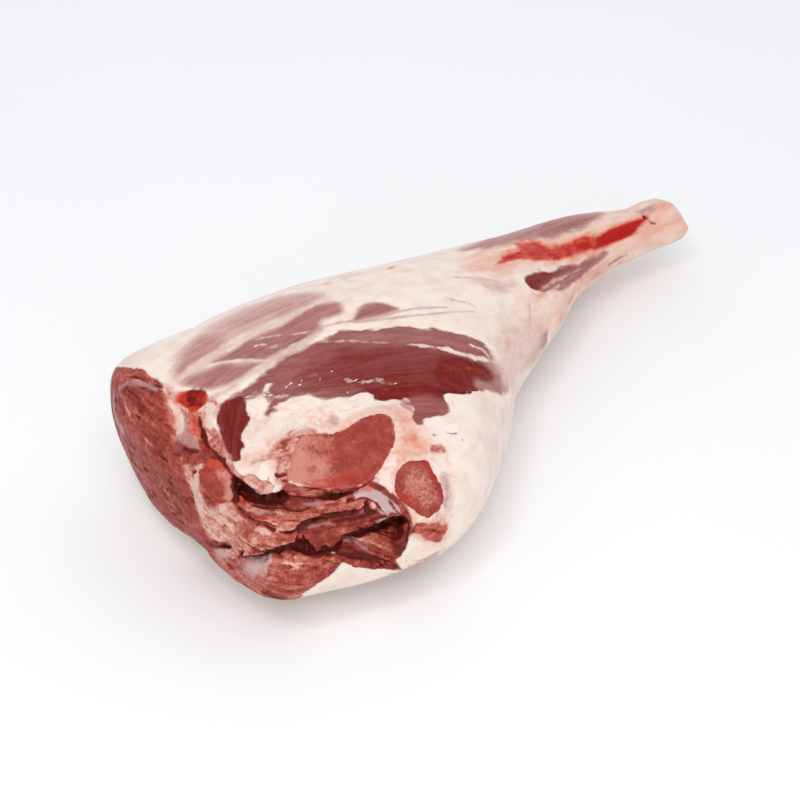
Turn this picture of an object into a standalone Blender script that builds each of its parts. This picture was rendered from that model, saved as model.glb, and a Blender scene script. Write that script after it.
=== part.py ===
"""Raw leg of lamb lying on its outer side: one solid of meat, fat and skin, and the three sawn ends of hip bone
that show in it.

Metres, +Z up. +X runs from the butt cut to the shank end, +Y is the straight shin side and -Y the rounded rump
side. The inner face of the thigh, with the sawn hip bone, looks up. The origin is the middle of the box round the
leg, on the surface that it lies on.
"""

import math

import bmesh
import bpy
from mathutils import Vector

# Sections of the leg: place along it, near edge, far edge, underside, height of the widest line, top.
# The underside runs just below zero where the leg's own weight presses it flat.
SECTIONS = [
    (-0.223, -0.018, 0.055, 0.024, 0.044, 0.070),  # middle of the butt cut
    (-0.213, -0.062, 0.084, 0.008, 0.046, 0.085),
    (-0.196, -0.094, 0.105, -0.001, 0.045, 0.095),  # rounded rim of the butt cut
    (-0.159, -0.102, 0.109, -0.002, 0.042, 0.100),
    (-0.117, -0.111, 0.109, -0.002, 0.039, 0.103),  # thickest, at the hip
    (-0.079, -0.105, 0.107, -0.002, 0.038, 0.104),
    (-0.037, -0.071, 0.099, -0.001, 0.038, 0.099),
    (0.005, -0.032, 0.095, 0.002, 0.038, 0.089),  # stifle
    (0.043, -0.011, 0.092, 0.005, 0.037, 0.079),
    (0.080, 0.008, 0.090, 0.008, 0.036, 0.069),
    (0.118, 0.029, 0.092, 0.011, 0.034, 0.061),  # calf, and the tendon behind it
    (0.150, 0.039, 0.088, 0.013, 0.033, 0.056),
    (0.187, 0.039, 0.077, 0.017, 0.033, 0.050),
    (0.205, 0.037, 0.076, 0.017, 0.033, 0.051),  # knuckle
    (0.217, 0.036, 0.073, 0.018, 0.033, 0.049),
    (0.221, 0.039, 0.069, 0.020, 0.033, 0.046),  # rim of the shank cut
]
STEPS_BETWEEN_SECTIONS = 2
RING_POINTS = 32
SQUARE_AT_BUTT = 3.0  # 2 is an ellipse, more is squarer
SQUARE_AT_SHANK = 2.2
LEAN_AT_BUTT = 0.09  # how far the top rises towards the far edge
THIGH_SHARE = 0.62  # share of the length by which squareness and lean have run out
SHANK_CUT_SLANT = 0.30  # how much further the near side of the shank end reaches, for each metre across
SHANK_CUT_SHARE = 0.12  # share of the length over which that slant comes in

# Swellings and hollows of the surface: middle, reach along X, Y and Z, and how far the middle moves.
FORMS = {
    "hollow under the pubic bone": ((-0.180, -0.090, 0.063), (0.042, 0.030, 0.018), (0.003, 0.009, -0.001)),
    "hollow beside the ilium": ((-0.214, -0.056, 0.062), (0.020, 0.024, 0.018), (0.006, 0.004, 0.000)),
    "lobe under the lower cleft": ((-0.200, -0.088, 0.034), (0.040, 0.034, 0.020), (-0.003, -0.003, 0.000)),
    "slab round the pubic bone": ((-0.150, -0.066, 0.090), (0.060, 0.036, 0.030), (0.000, -0.002, 0.004)),
    "dip where the butt cut meets the slab": ((-0.203, 0.002, 0.094), (0.016, 0.026, 0.020), (0.001, 0.000, -0.005)),
    "inner thigh muscle": ((-0.105, 0.010, 0.104), (0.080, 0.050, 0.030), (0.000, 0.000, 0.003)),
    "hollow before the calf tendon": ((0.100, 0.030, 0.060), (0.040, 0.016, 0.020), (-0.001, 0.002, -0.003)),
    "swelling of the calf": ((0.075, 0.070, 0.070), (0.060, 0.030, 0.030), (0.000, 0.001, 0.002)),
}

# Clefts between the muscles: the route of the mouth, which way it goes in, how deep, how wide at the mouth, and how
# full it is at its start, middle and end.
CLEFTS = {
    "cleft_under_pubic_bone": {
        "route": [
            (-0.200, 0.010, 0.092),
            (-0.204, -0.012, 0.088),
            (-0.204, -0.036, 0.084),
            (-0.198, -0.057, 0.081),
            (-0.183, -0.072, 0.080),
            (-0.160, -0.083, 0.080),
            (-0.138, -0.088, 0.082),
        ],
        "inward": (0.52, 0.68, -0.52),
        "depth": 0.022,
        "mouth": 0.008,
        "fullness": (0.5, 1.0, 0.4),
    },
    "cleft_over_lower_lobe": {
        "route": [
            (-0.218, -0.033, 0.040),
            (-0.214, -0.056, 0.048),
            (-0.207, -0.072, 0.057),
            (-0.192, -0.087, 0.062),
            (-0.170, -0.098, 0.057),
            (-0.146, -0.106, 0.042),
        ],
        "inward": (0.60, 0.76, -0.25),
        "depth": 0.020,
        "mouth": 0.009,
        "fullness": (0.4, 1.0, 0.4),
    },
    "pocket_by_ischium": {
        "route": [
            (-0.174, -0.096, 0.064),
            (-0.155, -0.101, 0.062),
            (-0.138, -0.106, 0.056),
        ],
        "inward": (0.40, 0.85, -0.30),
        "depth": 0.018,
        "mouth": 0.017,
        "fullness": (0.2, 0.7, 1.0),
    },
}
CLEFT_OUTREACH = 0.012  # how far a cutter starts outside the surface
CLEFT_FLARE = 1.6  # mouth of a cutter out there, as a multiple of the cleft's
CLEFT_FLOOR = 0.25  # width of the floor of a cleft, as a share of its mouth
CLEFT_STEPS = 3

# Sawn ends of the hip bone: middle of the face, the way it looks, the way its long axis runs, length, width.
BONES = {
    "pubic_bone": {
        "middle": (-0.147, -0.066, 0.0920),
        "looks": (-0.12, -0.34, 0.93),
        "long_axis": (1.0, -0.18, 0.06),
        "length": 0.066,
        "width": 0.034,
    },
    "ischium_bone": {
        "middle": (-0.1215, -0.0980, 0.0735),
        "looks": (-0.06, -0.74, 0.67),
        "long_axis": (-0.15, -0.62, -0.77),
        "length": 0.037,
        "width": 0.030,
    },
    "ilium_bone": {
        "middle": (-0.2115, -0.031, 0.0785),
        "looks": (-0.80, -0.20, 0.56),
        "long_axis": (0.10, -0.75, -0.30),
        "length": 0.032,
        "width": 0.020,
    },
}
BONE_DEPTH = 0.007
BONE_PROUD = 0.0015
BONE_POINTS = 24
BONE_RIM = 0.0015
SOCKET_GAP = 0.0003
SOCKET_OUTREACH = 0.005  # how far a socket's cutter starts outside the face

REST_BLOCK = 0.5  # side of the block that trims the underside flat

LEAN_COLOUR = (0.55, 0.30, 0.27)
BONE_COLOUR = (0.62, 0.27, 0.20)


def clear_scene():
    for item in list(bpy.data.objects):
        bpy.data.objects.remove(item, do_unlink=True)


def material(name, colour, roughness):
    made = bpy.data.materials.new(name)
    made.use_nodes = True
    shader = made.node_tree.nodes["Principled BSDF"]
    shader.inputs["Base Color"].default_value = (*colour, 1.0)
    shader.inputs["Roughness"].default_value = roughness
    shader.inputs["Metallic"].default_value = 0.0
    return made


def curve_through(rows, steps):
    """Rows of numbers joined by Catmull-Rom spans, each cut into the given number of steps."""
    before = [2 * a - b for a, b in zip(rows[0], rows[1])]
    after = [2 * a - b for a, b in zip(rows[-1], rows[-2])]
    padded = [before, *rows, after]
    points = []
    for i in range(len(rows) - 1):
        for step in range(steps):
            points.append([span_value(*four, step / steps) for four in zip(*padded[i : i + 4])])
    points.append(list(rows[-1]))
    return points


def span_value(a, b, c, d, t):
    return 0.5 * (2 * b + (c - a) * t + (2 * a - 5 * b + 4 * c - d) * t**2 + (3 * b - a - 3 * c + d) * t**3)


def signed_power(value, power):
    return math.copysign(abs(value) ** power, value)


def section_points(row, share):
    """One closed ring: a squared ellipse whose upper half leans up towards the far edge."""
    x, near, far, low, side, top = row
    shank = min(1.0, share / THIGH_SHARE)
    square = SQUARE_AT_BUTT + (SQUARE_AT_SHANK - SQUARE_AT_BUTT) * shank
    lean = LEAN_AT_BUTT * (1.0 - shank)
    slant = SHANK_CUT_SLANT * max(0.0, 1.0 - (1.0 - share) / SHANK_CUT_SHARE)
    middle = (near + far) / 2
    half = (far - near) / 2
    points = []
    for i in range(RING_POINTS):
        angle = 2 * math.pi * i / RING_POINTS
        across = signed_power(math.cos(angle), 2 / square)
        rise = abs(math.sin(angle)) ** (2 / square)
        if math.sin(angle) >= 0:
            z = side + (top - side) * rise + lean * half * across * rise
        else:
            z = side - (side - low) * rise
        points.append(Vector((x - slant * half * across, middle + half * across, z)))
    return points


def loft(rings):
    """Skin through the rings, with a fan to the middle of the first and the last one."""
    mesh = bmesh.new()
    loops = [[mesh.verts.new(point) for point in ring] for ring in rings]
    for one, other in zip(loops, loops[1:]):
        for i in range(len(one)):
            j = (i + 1) % len(one)
            mesh.faces.new((one[i], one[j], other[j], other[i]))
    for loop in (loops[0], loops[-1]):
        hub = mesh.verts.new(sum((v.co for v in loop), Vector()) / len(loop))
        for i in range(len(loop)):
            mesh.faces.new((loop[i], loop[(i + 1) % len(loop)], hub))
    bmesh.ops.recalc_face_normals(mesh, faces=mesh.faces)
    return mesh


def press_forms(mesh):
    """Moves the surface out or in round each form's middle, fading to nothing at its reach."""
    for middle, reach, move in FORMS.values():
        for vert in mesh.verts:
            away = sum(((c - m) / r) ** 2 for c, m, r in zip(vert.co, middle, reach))
            if away < 1.0:
                vert.co += Vector(move) * (1.0 - away) ** 2


def add_object(name, mesh):
    data = bpy.data.meshes.new(name)
    mesh.to_mesh(data)
    mesh.free()
    item = bpy.data.objects.new(name, data)
    bpy.context.scene.collection.objects.link(item)
    return item


def cut(target, cutter):
    cutter.hide_render = True
    cutter.display_type = "WIRE"
    boolean = target.modifiers.new(cutter.name, "BOOLEAN")
    boolean.operation = "DIFFERENCE"
    boolean.solver = "EXACT"
    boolean.object = cutter


def cleft_cutter(name, route, inward, depth, mouth, fullness):
    """A blade that follows the route: wide outside the surface, narrow at the floor of the cleft."""
    inward = Vector(inward).normalized()
    points = [Vector(p) for p in curve_through(route, CLEFT_STEPS)]
    start, middle, end = fullness
    rings = []
    for i, point in enumerate(points):
        along = points[min(i + 1, len(points) - 1)] - points[max(i - 1, 0)]
        up = inward.cross(along).normalized()
        t = i / (len(points) - 1)
        full = start * (1 - t) ** 2 + end * t**2 + (middle - (start + end) / 4) * 4 * t * (1 - t)
        half = up * mouth * full / 2
        outside = point - inward * CLEFT_OUTREACH
        floor = point + inward * depth * full
        upper = [outside + half * CLEFT_FLARE, point + half, floor + half * CLEFT_FLOOR]
        lower = [floor - half * CLEFT_FLOOR, point - half, outside - half * CLEFT_FLARE]
        rings.append(upper + lower)
    return add_object(name, loft(rings))


def bone_blank(name, spec, grow, proud):
    """An oval block let into the meat along the way its face looks."""
    out = Vector(spec["looks"]).normalized()
    side = out.cross(Vector(spec["long_axis"])).normalized()
    along = side.cross(out)
    half_length = spec["length"] / 2 + grow
    half_width = spec["width"] / 2 + grow
    rings = []
    for height, inset in ((-BONE_DEPTH - grow, 0.0), (proud - BONE_RIM, 0.0), (proud, BONE_RIM)):
        ring = []
        for i in range(BONE_POINTS):
            angle = 2 * math.pi * i / BONE_POINTS
            flat = along * math.cos(angle) * (half_length - inset) + side * math.sin(angle) * (half_width - inset)
            ring.append(Vector(spec["middle"]) + flat + out * height)
        rings.append(ring)
    return add_object(name, loft(rings))


def build_bones(leg):
    finish = material("sawn_bone", BONE_COLOUR, 0.6)
    for name, spec in BONES.items():
        bone = bone_blank(name, spec, 0.0, BONE_PROUD)
        bone.data.materials.append(finish)
        bone.data.shade_smooth()
        bone.data.set_sharp_from_angle(angle=math.radians(50))
        cut(leg, bone_blank(name + "_socket", spec, SOCKET_GAP, SOCKET_OUTREACH))


def build_leg():
    rows = curve_through(SECTIONS, STEPS_BETWEEN_SECTIONS)
    mesh = loft([section_points(row, i / (len(rows) - 1)) for i, row in enumerate(rows)])
    press_forms(mesh)
    leg = add_object("leg_meat", mesh)
    leg.data.materials.append(material("lean_and_fat", LEAN_COLOUR, 0.45))
    leg.data.shade_smooth()
    rounding = leg.modifiers.new("Rounding", "SUBSURF")
    rounding.levels = 1
    rounding.render_levels = 1
    for name, spec in CLEFTS.items():
        cut(leg, cleft_cutter(name, **spec))
    return leg


def trim_underside(leg):
    block = bmesh.new()
    bmesh.ops.create_cube(block, size=REST_BLOCK)
    bmesh.ops.translate(block, verts=block.verts, vec=(0.0, 0.0, -REST_BLOCK / 2))
    cut(leg, add_object("rest_block", block))


clear_scene()
leg_of_lamb = build_leg()
build_bones(leg_of_lamb)
trim_underside(leg_of_lamb)
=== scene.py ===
import math
import random
import bpy
import numpy as np
from mathutils import Matrix, Vector


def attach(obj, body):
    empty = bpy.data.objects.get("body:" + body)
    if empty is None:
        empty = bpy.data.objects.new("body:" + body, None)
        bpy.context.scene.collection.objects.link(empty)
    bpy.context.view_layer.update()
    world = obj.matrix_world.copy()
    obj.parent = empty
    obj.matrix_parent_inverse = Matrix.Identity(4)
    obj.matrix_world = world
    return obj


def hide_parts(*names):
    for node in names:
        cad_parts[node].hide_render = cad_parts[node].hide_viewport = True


# A raw leg of lamb lying on its outer side. The lists of places and sizes are in millimetres, the meshes
# in metres.

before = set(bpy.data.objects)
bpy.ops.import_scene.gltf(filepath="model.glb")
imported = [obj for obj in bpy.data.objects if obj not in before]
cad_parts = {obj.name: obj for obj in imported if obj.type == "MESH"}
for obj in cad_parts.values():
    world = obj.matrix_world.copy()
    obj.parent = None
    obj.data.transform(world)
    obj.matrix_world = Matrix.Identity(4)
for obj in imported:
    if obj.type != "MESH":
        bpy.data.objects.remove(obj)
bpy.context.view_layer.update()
mm = 0.001
far = 1.0  # a distance that counts as nowhere near
pointsAtOnce = 4000  # how many points the distances are worked out for in one go


# small tools

def unit(vector):
    vector = np.array(vector, float)
    return vector / np.linalg.norm(vector, axis=-1, keepdims=True)


openSide = unit((-0.46, -0.61, 0.64))  # the way the open side with the bones looks
hangs = unit((-0.39, -0.51, -0.77))  # the way its torn layers hang down


def pick(piece):
    bpy.ops.object.select_all(action="DESELECT")
    piece.select_set(True)
    bpy.context.view_layer.objects.active = piece


def applyModifier(piece, kind, **settings):
    pick(piece)
    modifier = piece.modifiers.new(kind.title(), kind)
    for name, value in settings.items():
        setattr(modifier, name, value)
    bpy.ops.object.modifier_apply(modifier=modifier.name)


def readPoints(piece):
    values = np.empty(len(piece.data.vertices) * 3)
    piece.data.vertices.foreach_get("co", values)
    return values.reshape(-1, 3)


def readNormals(piece):
    values = np.empty(len(piece.data.vertices) * 3)
    piece.data.vertex_normals.foreach_get("vector", values)
    return values.reshape(-1, 3)


def writePoints(piece, points):
    piece.data.vertices.foreach_set("co", points.ravel())
    piece.data.update()


def writeAmount(piece, name, values):
    kind = "FLOAT" if values.ndim == 1 else "FLOAT_VECTOR"
    attribute = piece.data.attributes.new(name, kind, "POINT")
    attribute.data.foreach_set("value" if values.ndim == 1 else "vector", values.ravel())


def smoothStep(low, high, values):
    share = np.clip((values - low) / (high - low), 0, 1)
    return share * share * (3 - 2 * share)


def cloud(points, size, seed=0):
    # smooth lumps between -1 and 1, this many metres across, the same on every run
    spots = points / size + (seed * 7.31 + 0.37)
    base = np.floor(spots).astype(np.int64)
    share = spots - base
    share = share * share * (3 - 2 * share)
    total = np.zeros(len(points))
    for corner in range(8):
        step = np.array([corner & 1, corner >> 1 & 1, corner >> 2 & 1])
        key = (base + step) @ np.array([73856093, 19349663, 83492791])
        key = (key ^ key >> 13) * 1274126177 & 0x7FFFFFFF
        value = ((key ^ key >> 16) & 0xFFFF) / 32767.5 - 1
        total += value * np.prod(np.where(step, share, 1 - share), axis=1)
    return total


def cloudSum(points, size, seed=0, layers=3):
    total = sum(cloud(points, size / 2 ** i, seed + i) / 2 ** i for i in range(layers))
    return total / 1.5


def alongFibres(points, direction, along, across):
    # points squeezed so that noise comes out in streaks along the direction
    run = (points * direction).sum(axis=1, keepdims=True)
    return (points - run * direction) / across + run * direction / along


def curveThrough(places, closed=False, steps=8):
    # a smooth curve through a few places in millimetres, sampled in metres
    places = np.array(places, float) * mm
    if closed:
        ring = np.vstack([places[-1], places, places[:2]])
    else:
        ring = np.vstack([2 * places[0] - places[1], places, 2 * places[-1] - places[-2]])
    curve = []
    for a, b, c, d in zip(ring[:-3], ring[1:-2], ring[2:-1], ring[3:]):
        for t in np.arange(steps) / steps:
            curve.append(b + 0.5 * t * (c - a + t * (2 * a - 5 * b + 4 * c - d + t * (3 * (b - c) + d - a))))
    if not closed:
        curve.append(places[-1])
    return np.array(curve)


def outlineDistance(points, normals, outline, reach=28 * mm, facing=None):
    # distance to an outline laid on the surface, positive inside it, and the outline's middle
    spread = 14 * mm
    curve = curveThrough(outline, closed=True, steps=6)
    middle = curve.mean(axis=0)
    ahead = np.roll(curve, -1, axis=0)
    face = unit(np.cross(curve - middle, ahead - middle).sum(axis=0))
    nearest = np.argmin(((points - middle) ** 2).sum(axis=1))
    if normals[nearest] @ face < 0:
        face = -face
    if facing is not None:
        face = facing
    side = unit(np.cross(face, (0.3, 0.5, 0.8)))
    axes = np.array([side, np.cross(face, side)]).T
    ring = (curve - middle) @ axes
    flat = (points - middle) @ axes
    close = (flat > ring.min(axis=0) - spread).all(axis=1) & (flat < ring.max(axis=0) + spread).all(axis=1)
    close &= (abs((points - middle) @ face) < reach) & (normals @ face > -0.05)
    distance = np.full(len(points), -far)
    spots = np.nonzero(close)[0]
    edge = np.roll(ring, -1, axis=0) - ring
    for part in np.array_split(spots, len(spots) // pointsAtOnce + 1):
        offset = flat[part][:, None] - ring
        share = np.clip((offset * edge).sum(axis=2) / (edge ** 2).sum(axis=1), 0, 1)
        away = np.sqrt(((offset - share[..., None] * edge) ** 2).sum(axis=2).min(axis=1))
        above = offset[..., 1] >= 0
        crosses = above != np.roll(above, -1, axis=1)
        reachX = offset[..., 0] * edge[:, 1] - offset[..., 1] * edge[:, 0]
        inside = (crosses & ((reachX < 0) == (edge[:, 1] > 0))).sum(axis=1) % 2 == 1
        distance[part] = np.where(inside, away, -away)
    return distance, middle


def routeDistance(points, route, reach, facing=None, side=hangs):
    # distance to a curve, share of its length at the nearest place, and how far beyond it towards the side;
    # with a facing, all of it as it looks from there
    curve = curveThrough(route, steps=14)
    depth = reach if facing is None else 30 * mm
    near = (points > curve.min(axis=0) - depth).all(axis=1) & (points < curve.max(axis=0) + depth).all(axis=1)
    distance = np.full(len(points), far)
    share = np.zeros(len(points))
    beyond = np.zeros(len(points))
    flatten = np.eye(3) if facing is None else np.eye(3) - np.outer(facing, facing)
    spots = np.nonzero(near)[0]
    flat = curve @ flatten
    towards = unit(flatten @ np.array(side))
    for part in np.array_split(spots, len(spots) // pointsAtOnce + 1):
        offset = (points[part] @ flatten)[:, None] - flat
        squares = (offset ** 2).sum(axis=2)
        nearest = squares.argmin(axis=1)
        rows = np.arange(len(part))
        distance[part] = np.sqrt(squares[rows, nearest])
        share[part] = nearest / (len(curve) - 1)
        beyond[part] = offset[rows, nearest] @ towards
        if facing is not None:
            distance[part[abs((points[part] - curve[nearest]) @ facing) > depth]] = far
    distance[distance > reach] = far
    return distance, share, beyond


# leg of meat: a copy of the frame's leg, with the torn meat built up on it like clay

legSizes = {
    "body": "root",
    "voxel": 1.7,  # size of the faces
    "socketFill": 1.06,  # copies of the bones that fill their sockets
    "smoothing": 4,
    "lowest": 0.1,  # the pressed underside stays this far over the floor
    "mostTriangles": 192000,
}

# rolls of meat laid on the leg: the way they run, half their width and height, and which way they look
meatRolls = {
    "topBand": ([(-204, -44, 72), (-197, -54, 74), (-185, -65, 75), (-173, -74, 74), (-159, -80, 71)],
                6.5, 5.0, (-0.3, -0.5, 0.8)),
    "middleMass": ([(-208, -46, 68), (-201, -61, 71), (-192, -71, 71), (-183, -76, 72), (-174, -78, 73)],
                   8.0, 5.5, (-0.5, -0.65, 0.55)),
    "tongue": ([(-213, -40, 54), (-208, -53, 55), (-203, -67, 59), (-196, -76, 63), (-187, -79, 68)],
               6.5, 5.5, (-0.75, -0.55, 0.35)),
    "secondLip": ([(-212, -46, 43), (-209, -56, 46), (-206, -63, 50), (-201, -70, 54)],
                  3.5, 5.0, (-0.75, -0.55, 0.35)),
    "chunk": ([(-188, -77, 61), (-179, -82, 58), (-170, -86, 56)], 6.0, 6.0, (-0.35, -0.8, 0.45)),
    "nub": ([(-183, -81, 57), (-182, -86, 54)], 2.2, 2.2, (-0.5, -0.8, 0.2)),
    "upperStrand": ([(-174, -74, 73), (-162, -79, 72), (-150, -84, 69)], 4.5, 4.0, (-0.25, -0.7, 0.65)),
    "middleFlap": ([(-174, -80, 67), (-163, -83, 66), (-152, -86, 67)], 4.5, 4.5, (-0.3, -0.8, 0.5)),
    "flapByPocket": ([(-170, -86, 60), (-158, -88, 61), (-147, -92, 61)], 4.5, 4.5, (-0.3, -0.85, 0.4)),
    "whiteArch": ([(-163, -81, 77), (-154, -83, 77), (-147, -87, 76), (-141, -93, 70), (-137, -99, 63)],
                  3.5, 3.0, (-0.3, -0.6, 0.75)),
    "stripUnderPocket": ([(-176, -94, 51), (-162, -99, 43), (-150, -102, 34), (-138, -103, 25)],
                         4.0, 4.5, (-0.2, -0.97, 0.1)),
    "lipUnderSlab": ([(-200, -16, 89), (-200, -33, 86), (-200, -43, 84), (-197, -51, 83), (-193, -57, 83),
                      (-186, -62, 84), (-177, -68, 84), (-166, -75, 83)],
                     2.6, 3.4, (-0.5, -0.5, 0.7)),
    "knuckleTop": ([(198, 55, 49), (206, 53, 49), (212, 50, 48)], 5.0, 4.5, (0.3, 0.4, 0.8)),
    "knuckleEdge": ([(212, 50, 48), (216, 43, 42), (218, 39, 37)], 4.0, 3.5, (0.7, -0.4, 0.5)),
    "knuckleLow": ([(196, 38, 30), (207, 38, 32), (216, 38, 34)], 4.0, 4.0, (0.2, -0.8, 0.3)),
    "redChannel": ([(-199, 17, 92), (-203, 4, 88), (-204, -6, 86), (-203, -16, 85), (-203, -26, 85)],
                   3.6, 3.6, (-0.46, -0.61, 0.64)),
    "smallLobes": ([(-208, 11, 86), (-211, 1, 84), (-209, -8, 84)], 4.5, 3.5, (-0.5, 0.0, 0.86)),
    "paleChannel": ([(-197, 17, 92), (-199, 10, 89), (-203, 2, 87)], 4.0, 3.5, (-0.4, 0.0, 0.9)),
}


def rollOfMeat(name, route, wide, high, looks):
    # a ball stretched along a curve, round at both ends
    bpy.ops.object.select_all(action="DESELECT")
    bpy.ops.mesh.primitive_uv_sphere_add(segments=20, ring_count=24, radius=1)
    roll = bpy.context.object
    roll.name = name
    points = readPoints(roll)
    curve = curveThrough(route, steps=12)
    share = (points[:, 2] + 1) / 2 * (len(curve) - 1)
    index = np.minimum(share.astype(int), len(curve) - 2)
    step = (share - index)[:, None]
    centre = curve[index] * (1 - step) + curve[index + 1] * step
    forward = unit(curve[index + 1] - curve[index])
    side = unit(np.cross(forward, unit(looks)))
    up = np.cross(side, forward)
    fuller = np.maximum(1 - points[:, 2] ** 2, 0.02) ** -0.22
    writePoints(roll, centre + side * (points[:, :1] * wide * mm * fuller[:, None])
                + up * (points[:, 1:2] * high * mm * fuller[:, None]))
    bpy.ops.object.mode_set(mode="EDIT")
    bpy.ops.mesh.select_all(action="SELECT")
    bpy.ops.mesh.normals_make_consistent(inside=False)
    bpy.ops.object.mode_set(mode="OBJECT")
    return roll


def copyOfNode(name, newName, swell=1.0):
    # a frame's node with its loose triangles joined, swollen round its own middle
    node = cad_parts[name]
    copy = bpy.data.objects.new(newName, node.data.copy())
    bpy.context.scene.collection.objects.link(copy)
    middle = Vector(readPoints(copy).mean(axis=0))
    copy.data.transform(Matrix.Translation(middle) @ Matrix.Scale(swell, 4) @ Matrix.Translation(-middle))
    pick(copy)
    bpy.ops.object.mode_set(mode="EDIT")
    bpy.ops.mesh.select_all(action="SELECT")
    bpy.ops.mesh.remove_doubles(threshold=0.01 * mm)
    bpy.ops.object.mode_set(mode="OBJECT")
    return copy


# pushes that true up the outline: place, which way and how far, and reach
outlinePushes = [
    ((-210, 87, 59), (-1.7, 1.3, 0), 45),  # far corner of the butt, fuller
    ((-202, 92, 74), (-0.6, 1.7, 1.1), 25),
    ((-219, 60, 28), (2.2, -1.1, 0.5), 38),  # hollow under it
    ((-216, -13, 15), (3.3, -0.4, 2.0), 30),  # notch over the lobe at the bottom
    ((-187, -91, 25), (1.5, 2.0, 3.0), 34),
    ((-84, -102, 25), (-1.9, 1.9, 0.4), 42),  # rump
    ((-21, -55, 35), (2.4, -1.8, 0), 45),
    ((112, 27, 33), (0.6, 2.0, 2.3), 32),  # back of the shank
    ((193, 68, 47), (-0.8, -1.1, -1.6), 32),  # front of the shank
    ((-153, 90, 81), (-0.1, -1.1, -1.2), 34),
]
shankCut = {"place": (220, 43.4, 41.9), "looks": unit((0.877, -0.21, 0.43))}  # where the shank was cut off


def trueUp(points):
    # the pushes, and the end of the shank cut off unevenly
    shift = np.zeros_like(points)
    for place, push, reach in outlinePushes:
        away = np.linalg.norm(points - np.array(place) * mm, axis=1)
        shift += smoothStep(reach * mm, 0, away)[:, None] * np.array(push) * mm
    points = points + shift
    uneven = 0.6 * mm * cloudSum(points, 7 * mm, 30)
    over = (points - np.array(shankCut["place"]) * mm) @ shankCut["looks"] + uneven
    return points - np.maximum(over, 0)[:, None] * 0.93 * shankCut["looks"]


def buildLeg():
    leg = copyOfNode("leg_meat", "legOfLamb")
    parts = [copyOfNode(name, name + "Fill", legSizes["socketFill"]) for name in boneFaces]
    parts += [rollOfMeat(name, *sizes) for name, sizes in meatRolls.items()]
    pick(leg)
    for part in parts:
        part.select_set(True)
    bpy.ops.object.join()
    applyModifier(leg, "REMESH", mode="VOXEL", voxel_size=legSizes["voxel"] * mm, use_smooth_shade=True)
    applyModifier(leg, "SMOOTH", factor=0.5, iterations=legSizes["smoothing"])
    writePoints(leg, trueUp(readPoints(leg)))
    return leg


# where the faces are halved, and which way the surface looks there
fineDetail = {
    "thighUpTo": -10, "thighFarSide": 62, "thighLowest": 12, "thighLooks": unit((-0.45, -0.55, 0.7)),
    "buttUpTo": -165, "buttLooks": unit((-0.9, -0.2, 0.3)),
    "shankFrom": 30,
}


def refineDetail(leg):
    # halve the faces where the meat is cut, torn or patchy
    fine = fineDetail
    points = readPoints(leg)
    normals = readNormals(leg)
    along, across, height = points.T
    wanted = (along < fine["thighUpTo"] * mm) & (normals @ fine["thighLooks"] > 0.08)
    wanted &= (across < fine["thighFarSide"] * mm) & (height > fine["thighLowest"] * mm)
    wanted |= (along < fine["buttUpTo"] * mm) & (normals @ fine["buttLooks"] > 0.2)
    wanted |= (along > fine["shankFrom"] * mm) & (normals @ openSide > 0.1)
    corners = np.empty(len(leg.data.loops), np.int64)
    leg.data.loops.foreach_get("vertex_index", corners)
    starts = np.empty(len(leg.data.polygons), np.int64)
    leg.data.polygons.foreach_get("loop_start", starts)
    chosen = np.add.reduceat(wanted[corners].astype(int), starts) >= 3
    pick(leg)
    bpy.ops.object.mode_set(mode="EDIT")
    bpy.ops.mesh.select_all(action="DESELECT")
    bpy.ops.object.mode_set(mode="OBJECT")
    leg.data.polygons.foreach_set("select", chosen)
    bpy.ops.object.mode_set(mode="EDIT")
    bpy.ops.mesh.select_mode(type="FACE")
    bpy.ops.mesh.subdivide(number_cuts=1, ngon=False)
    bpy.ops.mesh.select_mode(type="VERT")
    bpy.ops.mesh.vertices_smooth(factor=0.5, repeat=2)
    bpy.ops.object.mode_set(mode="OBJECT")


# what lies where on the leg

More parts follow.
